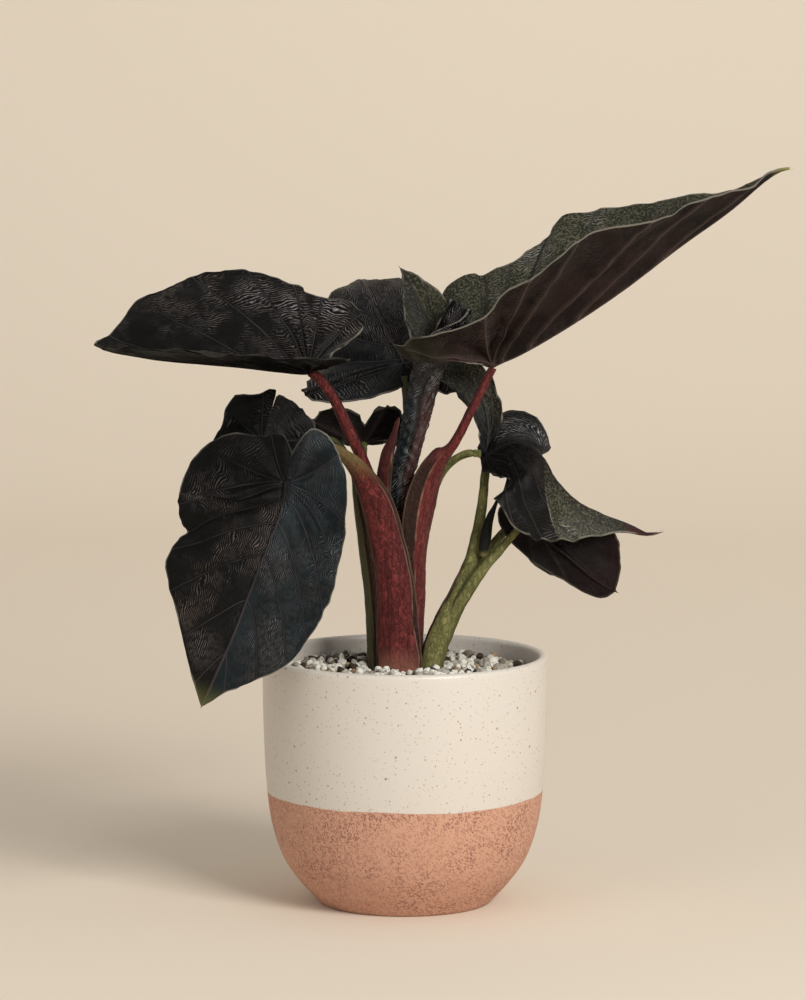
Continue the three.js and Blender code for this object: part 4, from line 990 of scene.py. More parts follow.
def stage_paint(name, color):
    """Plain matt paint with a faint cloudiness."""
    made, shading, surface = new_material(name)
    cloud = shading.noise(shading.place(), 1.2, 2.0)
    deeper = tuple(0.96 * part for part in color)
    shading.feed(surface.inputs["Base Color"], shading.blend(cloud, color, deeper))
    surface.inputs["Roughness"].default_value = 0.9
    surface.inputs["Specular IOR Level"].default_value = 0.1
    return made


# Blades

class Midrib:
    """The line of a midrib, read by the distance from the stalk's end."""

    def __init__(self, leaf):
        self.points = catmull(leaf["midrib"])
        self.lengths = lengths_of(self.points)
        self.behind = self.lengths[JUNCTION * SPLINE_STEPS]
        self.length = self.lengths[-1] - self.behind
        self.ways = unit(np.gradient(self.points, axis=0))

    def at(self, distance):
        """The points and forward directions at distances."""
        where = np.clip(distance + self.behind, 0, self.lengths[-1])
        return (read_at(self.lengths, self.points, where),
                unit(read_at(self.lengths, self.ways, where)))


def half_way(midrib, half, is_left, along, aside):
    """Points of the flat leaf put in space, and their normals towards the upper side."""
    point, forward = midrib.at(along)
    found = eased(half, along)
    way, curl = found[..., :3], found[..., 3]
    way = unit(way - forward * np.sum(way * forward, -1, keepdims=True))
    normal = np.cross(forward, way) if is_left else np.cross(way, forward)
    bend = np.radians(np.where(curl == 0, 1e-6, curl)) / CURL_REACH
    angle = (bend * aside)[..., None]
    bend = bend[..., None]
    point = point + way * np.sin(angle) / bend - normal * (1 - np.cos(angle)) / bend
    return point, unit(normal * np.cos(angle) + way * np.sin(angle))


def vein_columns(leaf, looks, grid_step):
    """Column places in outline points and, for each stretch between columns, its panel."""
    last = len(leaf["left_outline"]) - 1
    bounds = [0, *looks["veins"], last]
    curves = [catmull(leaf[side]) for side in ("left_outline", "right_outline")]
    columns, panels = [0.0], []
    for number, (low, high) in enumerate(zip(bounds, bounds[1:])):
        longest = 0
        for curve in curves:
            piece = curve[round(low * SPLINE_STEPS):round(high * SPLINE_STEPS) + 1]
            longest = max(longest, lengths_of(piece)[-1])
        count = 2 * max(3, round(longest / grid_step / 2))
        share = np.arange(1, count + 1) / count
        share = share - 0.07 * np.sin(math.tau * share)
        columns.extend(low + (high - low) * share)
        panels.extend([number] * count)
    return np.array(columns), np.array(panels), bounds


def flat_column(leaf, looks, midrib, outline, place, row):
    """The flat place, along and aside, of a column at rows from the midrib to the margin."""
    last = len(outline) - 1
    curve = catmull(outline)
    margin = read_at(np.linspace(0, last, len(curve)), curve, place)
    inside = np.minimum(1, np.minimum(place, last - place) / 0.8)
    spot = np.stack([place * FRILL_STEP, np.full_like(place, outline[3][1])], -1)
    frill = looks["frill"] * inside
    margin = margin + np.stack([frill * wander(spot, FRILL_REACH, 21),
                                frill * wander(spot, FRILL_REACH, 22)], -1)
    share = np.clip((place - leaf["fan"]) / (last - leaf["fan"]), 0, 1)
    root = midrib.length * share ** looks["root_power"]
    reach = np.minimum(margin[..., 0], midrib.length)
    along = root + (reach - root) * row**VEIN_BEND
    return along, np.maximum(margin[..., 1], 0) * row


def blade_half(leaf, looks, settings, side, columns, panels, bounds, rows):
    """One half as grids of points, normals and values, by column and row."""
    is_left = side == "left"
    midrib = Midrib(leaf)
    outline, half = leaf[f"{side}_outline"], leaf[f"{side}_half"]
    last = len(outline) - 1
    k, r = np.meshgrid(columns, rows, indexing="ij")
    along, aside = flat_column(leaf, looks, midrib, outline, k, r)
    point, normal = half_way(midrib, half, is_left, along, aside)
    flat = np.stack([along, aside if is_left else -aside], -1)

    other = leaf["right_half" if is_left else "left_half"]
    fold_here = half_way(midrib, half, is_left, along, np.zeros_like(aside))[1]
    fold_there = half_way(midrib, other, not is_left, along, np.zeros_like(aside))[1]
    ridge = unit(fold_here + fold_there)
    near = smooth(aside, 0, FOLD_REACH)[..., None]
    normal = unit(ridge * (1 - near) + normal * near)

    run = np.concatenate([np.zeros((len(columns), 1)),
                          np.cumsum(np.linalg.norm(np.diff(flat, axis=1), axis=-1), axis=1)], 1)
    rib = np.full(k.shape, FAR)
    for vein in bounds[1:-1]:
        vein_flat = np.stack(flat_column(leaf, looks, midrib, outline,
                                         np.full_like(rows, vein), rows), -1)
        if not is_left:
            vein_flat[:, 1] *= -1
        vein_way = unit(np.gradient(vein_flat, axis=0))
        away = flat - vein_flat[None]
        across = np.abs(away[..., 0] * vein_way[None, :, 1] - away[..., 1] * vein_way[None, :, 0])
        rib = np.minimum(rib, across)
    to_margin = flat[:, -1:] - flat
    margin_way = unit(np.gradient(flat[:, -1], axis=0))[:, None]
    margin = np.abs(to_margin[..., 0] * margin_way[..., 1] - to_margin[..., 1] * margin_way[..., 0])
    margin[:, -1] = 0
    spine = np.where(along >= 0, aside, np.hypot(along, aside))
    spine = np.where(r == 0, 0, spine)

    panel_ahead = np.append(panels, panels[-1])
    panel_before = np.insert(panels, 0, panels[0])

    def across(panel):
        """How far each column lies across a panel, from 0 to 1."""
        low, high = (np.array(bounds)[panel + end][:, None] for end in (0, 1))
        return (k - low) / (high - low)

    turn = k / last * math.tau * leaf["waves"] + (LEFT_PHASE if is_left else RIGHT_PHASE)
    fade = np.minimum(1, aside / RIPPLE_REACH) * r**3
    shift = np.sin(turn) * leaf["ripple"] * fade
    grown = smooth(aside, 1, 12) * (1 - 0.55 * r**3)
    shift += looks["swell"] * settings.swell * np.sin(math.pi * across(panel_ahead)) ** 1.5 * grown
    seed = sum(map(ord, side)) + len(outline) + round(midrib.length)
    for extra, (height, reach, full) in enumerate(LUMPS):
        shift += height * wander(point, reach, seed + extra) * smooth(aside, 0, full)
    signed = -aside if is_left else aside
    for at, away, reach, height in looks["dents"]:
        shift += height * np.exp(-((along - at) ** 2 + (signed - away) ** 2) / reach**2)
    point = point + normal * shift[..., None]

    def phase_in(panel):
        """Rung counts along the main veins: each panel has its own arch and its own noise."""
        arch = 1.0 - np.abs(2 * across(panel) - 1) ** 1.6
        bent = run + 2.2 * arch * smooth(run, 2, 20)
        wobble = wander(flat, 6, seed + 7) + 0.35 * wander(flat, 2.2, seed + 8)
        spacing = settings.rung_spacing / looks["close"]
        return (bent + wobble) / spacing + panel[:, None] * 0.37

    tip = smooth(along, midrib.length - 16, midrib.length - 2) * looks["tip_green"]
    lobe = smooth(-along, 12, 26) * looks["lobe_olive"]
    half_number = 0 if is_left else 1

    def spots(name):
        """How near each point lies to the listed places of [along, aside, reach, strength]."""
        total = np.zeros(k.shape)
        for at, away, reach, strength in looks[name]:
            far = np.hypot(along - at, signed - away) / reach
            total = np.maximum(total, strength * (1 - smooth(far, 0.4, 1.3)))
        return total

    # Painted grey green sheen, from a slanted line across the half onwards
    low, high, slant = looks["olive_from"]
    beyond = along - slant * signed
    olive = float(looks["olive"][half_number]) * smooth(beyond, low, high)
    olive *= smooth(along, *looks["olive_after"])
    if looks["crease"] is not None:
        margin = np.minimum(margin, np.abs(beyond - looks["crease"]))
    # The values carry painted marks too: blue and grey green sheen, highlights on fine veins and shade
    values = {
        "rib": rib, "spine": spine, "margin": margin,
        "cool": np.full(k.shape, float(looks["cool"][half_number])),
        "olive": olive, "glint": spots("painted_glints"),
        "shade": np.maximum(spots("shades"), looks["painted_shade_halves"][half_number]),
        "green": tip, "lobe": lobe, "maroon": smooth(along, *looks["tail"]),
    }
    return {
        "point": point, "normal": normal, "values": values, "flat": flat,
        "start_phase": phase_in(panel_ahead), "end_phase": phase_in(panel_before), "row": r,
        "forward": midrib.at(along)[1], "steps": np.gradient(flat, axis=1), "along": along,
        "length": midrib.length,
    }


def bead(distance, height, width):
    """A rounded bead of a height, and of a width to both sides."""
    return height * np.exp(-((distance / width) ** 2))


def rungs(phase, sharpness):
    """Lines from 0 to 1, one for each whole number of the phase."""
    return (0.5 + 0.5 * np.cos(math.tau * phase)) ** sharpness


def upper_relief(grid, settings):
    """The height of the upper side's ladder veins, main veins and midrib."""
    values = grid["values"]
    rib, spine, margin = values["rib"], values["spine"], values["margin"]
    line = rungs(grid["start_phase"], 1.3)
    clear = smooth(rib, 0.6, 1.9) * smooth(spine, 0.8, 2.2) * smooth(margin, 0.5, 2.5)
    row_step = np.linalg.norm(grid["steps"], axis=-1)
    clear = clear * smooth(settings.rung_spacing / np.maximum(row_step, 0.01), 2.0, 3.2)
    height = settings.rung_height * line * clear
    strength = 1 - 0.6 * grid["row"]
    height += (bead(rib, -0.45, 1.3) + bead(rib, 0.35, 0.5)) * strength
    taper = 1 - 0.8 * smooth(grid["along"], 0, grid["length"])
    height += (bead(spine, 0.5, 0.8) + bead(spine - 1.7, -0.4, 0.7)) * taper
    return height + bead(margin, 0.12, 0.7)


def lower_relief(grid, settings):
    """The height of the underside's midrib and main veins."""
    values = grid["values"]
    rib, spine = values["rib"], values["spine"]
    taper = 1 - 0.85 * smooth(grid["along"], 0, grid["length"])
    height = bead(spine, settings.midrib_height * taper, 0.6 + 1.3 * taper)
    strength = 1 - 0.75 * grid["row"]
    height = np.maximum(height, bead(rib, settings.vein_height * strength, 0.75))
    line = rungs(grid["start_phase"], 1.5)
    height += 0.06 * line * smooth(rib, 0.6, 1.9)
    return height + bead(values["margin"], 0.12, 0.7)


def add_blade_half(surface, grid, settings, is_left, fine_under, under_slot, flat_box):
    """Adds the upper side, the underside and the rim of one half to a surface."""
    thickness = settings.thickness
    upper = grid["point"] + grid["normal"] * (thickness / 2 + upper_relief(grid, settings))[..., None]
    lower = grid["point"] - grid["normal"] * (thickness / 2 + lower_relief(grid, settings))[..., None]
    before = grid["point"][:, -2]
    outward = grid["point"][:, -1] - before
    outward = outward - grid["normal"][:, -1] * np.sum(outward * grid["normal"][:, -1], -1,
                                                      keepdims=True)
    tiny = np.linalg.norm(outward, axis=-1, keepdims=True) < 1e-4
    outward = unit(np.where(tiny, grid["forward"][:, -1], outward))
    ring = grid["point"][:, -1] + outward * RIM_BULGE
    columns, rows = grid["point"].shape[:2]
    step = 1 if fine_under else 2
    under_rows = len(range(0, rows, step))
    pick = np.ix_(np.arange(0, columns, step), np.arange(0, rows, step))
    values = grid["values"]
    top = surface.add_points(upper, **values)
    under = surface.add_points(lower[pick], **{key: found[pick] for key, found in values.items()})
    rim = surface.add_points(ring, **{key: found[:, -1] for key, found in values.items()})

    low, size = flat_box
    place = (grid["flat"] - low) / size
    rim_place = (grid["flat"][:, -1] - low) / size
    margin_out = unit(grid["steps"][:, -1]) * 0.5 / size

    def map_place(found, is_upper):
        """A place in the left part of the map for the upper side, or the right for the lower."""
        shift = 0.01 if is_upper else 0.51
        return np.stack([shift + 0.48 * found[..., 1], 0.01 + 0.98 * found[..., 0]], -1)

    def quads(start, start_phase, end_phase, found_places, slot, flip):
        """The quads between the columns and rows of a side."""
        columns, rows = start_phase.shape
        one = np.arange(columns - 1)[:, None]
        row = np.arange(rows - 1)[None]
        a, b = start + one * rows + row, start + (one + 1) * rows + row
        phase = np.stack([start_phase[:-1, :-1], end_phase[1:, :-1], end_phase[1:, 1:],
                          start_phase[:-1, 1:]], -1)
        corners = np.stack([a, b, b + 1, a + 1], -1)
        spots = np.stack([found_places[:-1, :-1], found_places[1:, :-1], found_places[1:, 1:],
                          found_places[:-1, 1:]], -2)
        if flip:
            corners, phase, spots = corners[..., ::-1], phase[..., ::-1], spots[..., ::-1, :]
        surface.add_faces(corners, slot, phase, spots)

    phases = grid["start_phase"], grid["end_phase"]
    quads(top, *phases, map_place(place, True), 0, not is_left)
    quads(under, *(phase[pick] for phase in phases), map_place(place, False)[pick], under_slot,
          is_left)

    one = np.arange(columns - 1)
    a, b = top + one * rows + rows - 1, top + (one + 1) * rows + rows - 1
    c, d = rim + one + 1, rim + one
    corners = np.stack([a, b, c, d], -1)
    inner, outer = map_place(rim_place, True), map_place(rim_place + margin_out, True)
    spots = np.stack([inner[:-1], inner[1:], outer[1:], outer[:-1]], -2)
    if not is_left:
        corners, spots = corners[:, ::-1], spots[:, ::-1]
    surface.add_faces(corners, 0, None, spots)

    inner, outer = map_place(rim_place, False), map_place(rim_place + margin_out, False)
    for start in range(0, columns - 1, step):
        here = under + start // step * under_rows + under_rows - 1
        there = here + under_rows
        corners, spots = [], []
        if step == 1:
            corners.append([rim + start, rim + start + 1, there, here])
            spots.append([outer[start], outer[start + 1], inner[start + 1], inner[start]])
        else:
            middle = rim + start + 1
            corners.append([rim + start, middle, here, here])
            spots.append([outer[start], outer[start + 1], inner[start], inner[start]])
            corners.append([middle, there, here, here])
            spots.append([outer[start + 1], inner[start + 2], inner[start], inner[start]])
            corners.append([middle, rim + start + 2, there, there])
            spots.append([outer[start + 1], outer[start + 2], inner[start + 2], inner[start + 2]])
        corners, spots = np.array(corners), np.array(spots)
        if not is_left:
            corners, spots = corners[:, ::-1], spots[:, ::-1]
        surface.add_faces(corners, under_slot, None, spots)


def build_blade(name, settings, materials):
    """A blade with an upper side, an underside and a rounded pale rim, in one mesh."""
    leaf, looks = LEAVES[name], {**PLAIN_LOOKS, **BLADE_LOOKS[name]}
    columns, panels, bounds = vein_columns(leaf, looks, settings.column_step)
    widest = max(point[1] for side in ("left_outline", "right_outline") for point in leaf[side])
    count = 2 * max(6, round(widest / settings.row_step / 2))
    rows = np.linspace(0, 1, count + 1)
    surface = Surface()
    grids = {}
    for side in ("left", "right"):
        grids[side] = blade_half(leaf, looks, settings, side, columns, panels, bounds, rows)
    flats = np.vstack([grid["flat"].reshape(-1, 2) for grid in grids.values()])
    low = flats.min(0) - MAP_MARGIN
    size = flats.max(0) + MAP_MARGIN - low
    for side, grid in grids.items():
        is_left = side == "left"
        under_slot = 2 if looks["top_both"][0 if is_left else 1] else 1
        add_blade_half(surface, grid, settings, is_left, looks["fine_under"], under_slot,
                       (low, size))
    # Painted shade: the undersides of these halves wear the upper skin, with almost no reflection
    if any(looks["top_both"]):
        materials = [*materials, leaf_top("leaf_dark_side", settings, 0.02, 0.5)]
    piece = surface.to_object(f"{name}_blade", materials, mapped=True)
    place_piece(piece, [name])


# Stalks

def stalk_grid(stalk, sides):
    """Points around a stalk by step and side, and what the skin needs to know of each."""
    stations = np.array(stalk["stations"], float)
    dense = catmull(stations)
    lengths = lengths_of(dense[:, :3])
    count = max(8, round(lengths[-1] / STALK_STEP))
    where = np.linspace(0, lengths[-1], count + 1)
    found = read_at(lengths, dense, where)
    centre, width, depth = found[:, :3], found[:, 3], found[:, 4]
    forward = unit(np.gradient(centre, axis=0))
    outward = np.broadcast_to(np.array(stalk["outward"], float), centre.shape)
    side = unit(np.cross(forward, outward))
    front = unit(np.cross(side, forward))
    angle = (np.arange(sides) + 0.5) / sides * math.tau
    sine, cosine = np.sin(angle), np.cos(angle)
    groove = stalk.get("groove", 0)
    inner = np.where(sine < 0, 1 - 2 * groove, 1)
    across = (width / 2)[:, None] * cosine
    over = (depth / 2)[:, None] * sine * inner
    points = centre[:, None] + side[:, None] * across[..., None] + front[:, None] * over[..., None]
    height = points[..., 2]
    cosine = np.broadcast_to(cosine, height.shape)
    sine = np.broadcast_to(sine, height.shape)
    swollen = 0.1 * np.sin(angle * 9 + 2 * wander(points, 20, 3)) + 0.12 * wander(points, 4, 5)
    wing = np.zeros_like(height)
    rim = np.zeros_like(height)
    if "wings" in stalk:
        low, high, top = stalk["wings"]
        here = 1 - smooth(height, top - 14, top)
        bend = 0.05 * wander(points, 14, 8)
        front_side = sine > -0.2
        for away in (low - cosine + bend, cosine - high + bend):
            wing = np.maximum(wing, smooth(away, 0, 0.05) * here * front_side)
            line = bead(away, 1, 0.022) * here * front_side
            rim = np.maximum(rim, line)
            swollen = swollen + 0.35 * line - 0.3 * smooth(away, 0, 0.06) * here * front_side
        wing = np.maximum(wing, smooth(-sine, 0.1, 0.3) * here)
        rim = np.maximum(rim, bead(np.abs(cosine) - 0.985, 1, 0.02) * here * 0.5)
    ways = unit(points - centre[:, None])
    points = points + ways * swollen[..., None]
    values = {"wing": wing, "rim": rim, "edge": np.abs(cosine)}
    if "foot" in stalk:
        values["foot"] = (1 - smooth(height, *stalk["foot"])) * (1 - wing)
    if "greening" in stalk:
        low, high = stalk["greening"]
        values["greening"] = smooth(height, low, high)
    return points, values


def add_stalk(surface, stalk, sides=STALK_SIDES):
    """Adds a closed stalk to a surface."""
    points, values = stalk_grid(stalk, sides)
    start = surface.add_points(points, **values)
    steps, sides = points.shape[:2]
    one = np.arange(steps - 1)[:, None]
    here = np.arange(sides)[None]
    following = (here + 1) % sides
    a, b = start + one * sides + here, start + one * sides + following
    c, d = a + sides, b + sides
    surface.add_faces(np.stack([a, c, d, b], -1))
    for row, turned in ((0, False), (steps - 1, True)):
        middle = points[row].mean(0)
        ends = {key: found[row].mean() for key, found in values.items()}
        centre = surface.add_points(middle[None], **ends)
        ring = start + row * sides + np.arange(sides)
        ahead = np.roll(ring, -1)
        caps = np.stack([ring, ahead, np.full(sides, centre), np.full(sides, centre)], -1)
        surface.add_faces(caps[:, ::-1] if turned else caps)


# Settings, shown in the sidebar

def colour(name, description, default):
    """A colour setting."""
    return bpy.props.FloatVectorProperty(
        name=name, description=description, default=default, subtype="COLOR", size=3, min=0, max=1)


def number(name, description, default, low, high):
    """A plain number setting."""
    return bpy.props.FloatProperty(name=name, description=description, default=default, min=low,
                                   max=high)


class PlanterSettings(bpy.types.PropertyGroup):
    """Sizes and colours of the planter."""

    glaze_line: number("Glaze line", "Height where the cream glaze ends, in mm", 59.6, 20, 110)
    cream: colour("Cream", "Glaze", (0.640, 0.590, 0.530))
    cream_deep: colour("Deep cream", "Clouds in the glaze", (0.60, 0.545, 0.480))
    speck: colour("Speck", "Specks in the glaze", (0.20, 0.12, 0.06))
    clay: colour("Clay", "Bare clay", (0.57, 0.31, 0.21))
    clay_deep: colour("Deep clay", "Clouds in the clay", (0.50, 0.26, 0.17))
    clay_speck: colour("Clay speck", "Specks in the clay", (0.25, 0.105, 0.07))


class FillingSettings(bpy.types.PropertyGroup):
    """Sizes and colours of the soil and the perlite."""

    spacing: number("Grain spacing", "Distance between large grains, in mm", 5.9, 3, 12)
    smallest: number("Smallest grain", "Diameter in mm", 3.4, 1, 8)
    largest: number("Largest grain", "Diameter in mm", 6.6, 2, 12)
    white: colour("Perlite", "White grains", (0.80, 0.77, 0.68))
    grey: colour("Grey perlite", "Greyer grains", (0.15, 0.12, 0.085))
    dust: colour("Dust", "Soil dust in the pits", (0.14, 0.105, 0.075))
    tan: colour("Tan grain", "The few tan grains", (0.30, 0.20, 0.115))
    soil: colour("Soil", "Potting mix", (0.035, 0.02, 0.012))
    soil_bits: colour("Soil bits", "Paler bits in the mix", (0.12, 0.07, 0.04))


class FoliageSettings(bpy.types.PropertyGroup):
    """Sizes and colours of the blades."""

    thickness: number("Thickness", "Blade thickness in mm", 0.6, 0.3, 1.5)
    row_step: number("Row step", "Grid step away from the midrib, in mm", 0.45, 0.3, 3)
    column_step: number("Column step", "Grid step along the margin, in mm", 2.0, 0.5, 5)
    swell: number("Swell", "Share of the swelling between main veins", 1.0, 0, 3)
    rung_spacing: number("Rung spacing", "Distance between ladder veins, in mm", 1.7, 1, 5)
    rung_height: number("Rung height", "Relief of the ladder veins, in mm", 0.22, 0, 1)
    vein_height: number("Vein height", "Main veins below the blade, in mm", 0.9, 0, 3)
    midrib_height: number("Midrib height", "Midrib below the blade, in mm", 2.4, 0, 5)
    dark: colour("Dark skin", "Upper side", (0.0032, 0.0028, 0.0022))
    # Painted blue sheen on the upper side, laid on half by half
    cool: colour("Blue skin", "Upper side of the blue halves", (0.0065, 0.0115, 0.0140))
    # Painted grey green sheen, for halves seen at a grazing angle
    olive: colour("Olive skin", "Upper side of the grey green halves", (0.0195, 0.0193, 0.0120))
    # Paler fine veins, partly their own colour and partly a painted highlight on their ridges
    ladder: colour("Ladder veins", "Fine veins of the upper side", (0.215, 0.160, 0.138))
    # Fine veins under the painted blue sheen
    blue_sheen_ladder: colour("Blue ladder veins", "Fine veins of the blue halves", (0.135, 0.160, 0.178))
    # Fine veins under the painted grey green sheen
    olive_vein: colour("Olive veins", "Fine veins of the grey green halves", (0.165, 0.160, 0.108))
    rib: colour("Main veins", "Midrib and main veins", (0.040, 0.033, 0.035))
    edge: colour("Margin", "Thin pale margin", (0.24, 0.22, 0.18))
    # Painted highlight on the fine veins at the glint spots
    glint: colour("Glint", "Fine veins where they catch the light", (0.46, 0.43, 0.44))
    newest_gloss: number("Newest gloss", "Reflections of the newest leaf", 0.3, 0, 1)
    newest: colour("Newest leaf", "Maroon side of the newest leaf", (0.040, 0.011, 0.012))
    gloss: number("Gloss", "Strength of the reflections", 0.09, 0, 1)
    edge_strength: number("Margin strength", "How clear the pale margin is", 0.6, 0, 1)
    tip: colour("Tip", "Green tips", (0.20, 0.20, 0.06))
    under_dark: colour("Dark underside", "Underside", (0.0055, 0.0034, 0.0028))
    under: colour("Underside", "Maroon underside", (0.0155, 0.0078, 0.0068))
    under_rib: colour("Underside veins", "Veins below", (0.080, 0.053, 0.046))
    velvet: number("Velvet", "Strength of the bloom", 0.01, 0, 1)
    velvet_tint: colour("Velvet tint", "Colour of the bloom", (0.75, 0.8, 0.8))


class StalkSettings(bpy.types.PropertyGroup):
    """Colours of the stalks."""

    red: colour("Red", "Pale parts of red stalks", (0.185, 0.034, 0.031))
    red_dark: colour("Dark red", "Net on red stalks", (0.024, 0.003, 0.0035))
    red_wing: colour("Sheath", "Wings of red sheaths", (0.028, 0.0115, 0.008))
    green: colour("Green", "Pale parts of green stalks", (0.225, 0.205, 0.074))
    sheath: colour("Olive sheath", "Sheath of the back stalks", (0.070, 0.060, 0.030))
    foot: colour("Foot", "Pale foot of the front stalk", (0.42, 0.185, 0.125))
    green_dark: colour("Dark green", "Net on green stalks", (0.060, 0.068, 0.020))
    green_wing: colour("Green sheath", "Wings of green sheaths", (0.060, 0.035, 0.020))
    greening: colour("Greening", "Green ends of red sheaths", (0.15, 0.115, 0.045))
    bract: colour("Bract", "Pale parts of the bract", (0.075, 0.017, 0.014))
    spike: colour("Spike", "The offset's dark spike", (0.008, 0.009, 0.007))
    rim: colour("Rim", "Dry rims of the sheaths", (0.26, 0.15, 0.10))


class StageSettings(bpy.types.PropertyGroup):
    """Camera, lights and backdrop."""

    camera_distance: number("Camera distance", "From the plant's axis, in m", 2.5, 1, 10)
    camera_pitch: number("Camera pitch", "Degrees below the horizon", 6.8, 0, 45)
    aim_height: number("Aim height", "Height that the camera looks at, in m", 0.213, 0, 1)
    focal_length: number("Focal length", "In mm, on a 36 mm sensor", 171.7, 20, 400)
    paint: colour("Backdrop", "Colour of the floor and the wall", (0.82, 0.72, 0.595))
    key_power: number("Key light", "Power in W", 88, 0, 500)
    fill_power: number("Fill light", "Power in W", 4, 0, 500)
    wall_power: number("Wall light", "Power in W", 11, 0, 500)
    sky: number("Room light", "Strength of the even light", 0.44, 0, 3)


# Operators

class PieceOperator:
    """What the operators have in common."""

    bl_options = {"REGISTER"}

    @staticmethod
    def done():
        """The answer of an operator that has finished."""
        return {"FINISHED"}


def blade_materials(looks):
    """The two sides of a blade, made once."""
    names = ("leaf_upper_side", "leaf_underside")
    if names[0] not in bpy.data.materials:
        return [leaf_top(names[0], looks, looks.gloss, 0.4), leaf_underside(looks)]
    return [bpy.data.materials[name] for name in names]


class ALOCASIA_OT_blades(PieceOperator, bpy.types.Operator):
    """Builds the open blades with veins, swellings and pale margins."""

    bl_idname = "alocasia.blades"
    bl_label = "Blades"

    def execute(self, context):
        looks = context.scene.alocasia_foliage
        materials = blade_materials(looks)
        for name in LEAVES:
            build_blade(name, looks, materials)
        return self.done()


def hollow_radius(height):
    """The radius of the planter's hollow at a height, as in the solids."""
    above = max(0, height - FLOOR)
    below = max(0, 1 - above / HOLLOW_SHOULDER)
    tall = RIM_RADIUS - WALL - HOLLOW_TAPER * (1 - above / (POT_HEIGHT - FLOOR))
    return tall * math.sqrt(1 - 0.6 * below**2.2)


def soil_height(radius):
    """The height of the soil at a distance from the planter's axis, as in the solids."""
    return SOIL_TOP_AT_WALL + SOIL_DOME * math.cos(radius / RIM_RADIUS * math.pi / 2)


class ALOCASIA_OT_planter(PieceOperator, bpy.types.Operator):
    """Turns the planter with its rounded lip, dressed in cream glaze over bare clay."""

    bl_idname = "alocasia.planter"
    bl_label = "Planter"

    def execute(self, context):
        looks = context.scene.alocasia_planter
        segments, round_off = 160, WALL / 2
        wall = catmull([(FOOT_RADIUS, FOOT_CHAMFER / 2), *OUTER_WALL,
                        (RIM_RADIUS, POT_HEIGHT - round_off)], 9)
        lip = [(RIM_RADIUS - round_off + round_off * math.cos(angle),
                POT_HEIGHT - round_off + round_off * math.sin(angle))
               for angle in np.linspace(0, math.pi, 11)[1:]]
        inside = [(hollow_radius(height), height)
                  for height in np.linspace(POT_HEIGHT - 4, FLOOR + 1, 24)]
        foot = [(0, 0), (FOOT_RADIUS - 6, 0), (FOOT_RADIUS - FOOT_CHAMFER, 0)]
        profile = np.array([*foot, *wall.tolist(), *lip, *inside, (0, FLOOR)])
        angle = np.arange(segments) / segments * math.tau
        radius, height = profile[:, 0][None], profile[:, 1][None]
        points = np.stack([radius * np.cos(angle)[:, None], radius * np.sin(angle)[:, None],
                           height + 0 * angle[:, None]], -1)
        surface = Surface()
        start = surface.add_points(points)
        surface.ring_faces(start, segments, len(profile))
        piece = surface.to_object("planter_ceramic", [ceramic(looks)])
        place_piece(piece, ["planter"])
        return self.done()


def stalk_clearance(x, y):
    """How far a point of the soil lies outside the stalks' feet."""
    nearest = FAR
    for stalk in (*STALKS.values(), OFFSET_STALKS[0]):
        cx, cy, _, width, depth = stalk["stations"][1]
        outward = math.atan2(stalk["outward"][1], stalk["outward"][0])
        dx, dy = x - cx, y - cy
        over = dx * math.cos(outward) + dy * math.sin(outward)
        side = -dx * math.sin(outward) + dy * math.cos(outward)
        size = math.hypot(over / (depth / 2), side / (width / 2))
        nearest = min(nearest, (size - 1) * min(width, depth) / 2)
    return nearest


def grain_shapes(draw, count, subdivisions):
    """Unit grains: rounded lumps with flats."""
    bpy.ops.mesh.primitive_ico_sphere_add(subdivisions=subdivisions, radius=1)
    ball = bpy.context.object
    points = np.array([v.co[:] for v in ball.data.vertices])
    faces = np.array([p.vertices[:] for p in ball.data.polygons])
    bpy.data.objects.remove(ball)
    shapes = []
    for number in range(count):
        lump = points.copy()
        for _ in range(GRAIN_CUTS):
            way = unit(draw.normal(size=3))
            cut = draw.uniform(0.4, 0.8)
            over = np.maximum(lump @ way - cut, 0)
            lump -= 0.85 * over[:, None] * way
        lump *= (1 + 0.10 * wander(lump, 0.5, 40 + number))[:, None]
        shapes.append(lump)
    return shapes, faces


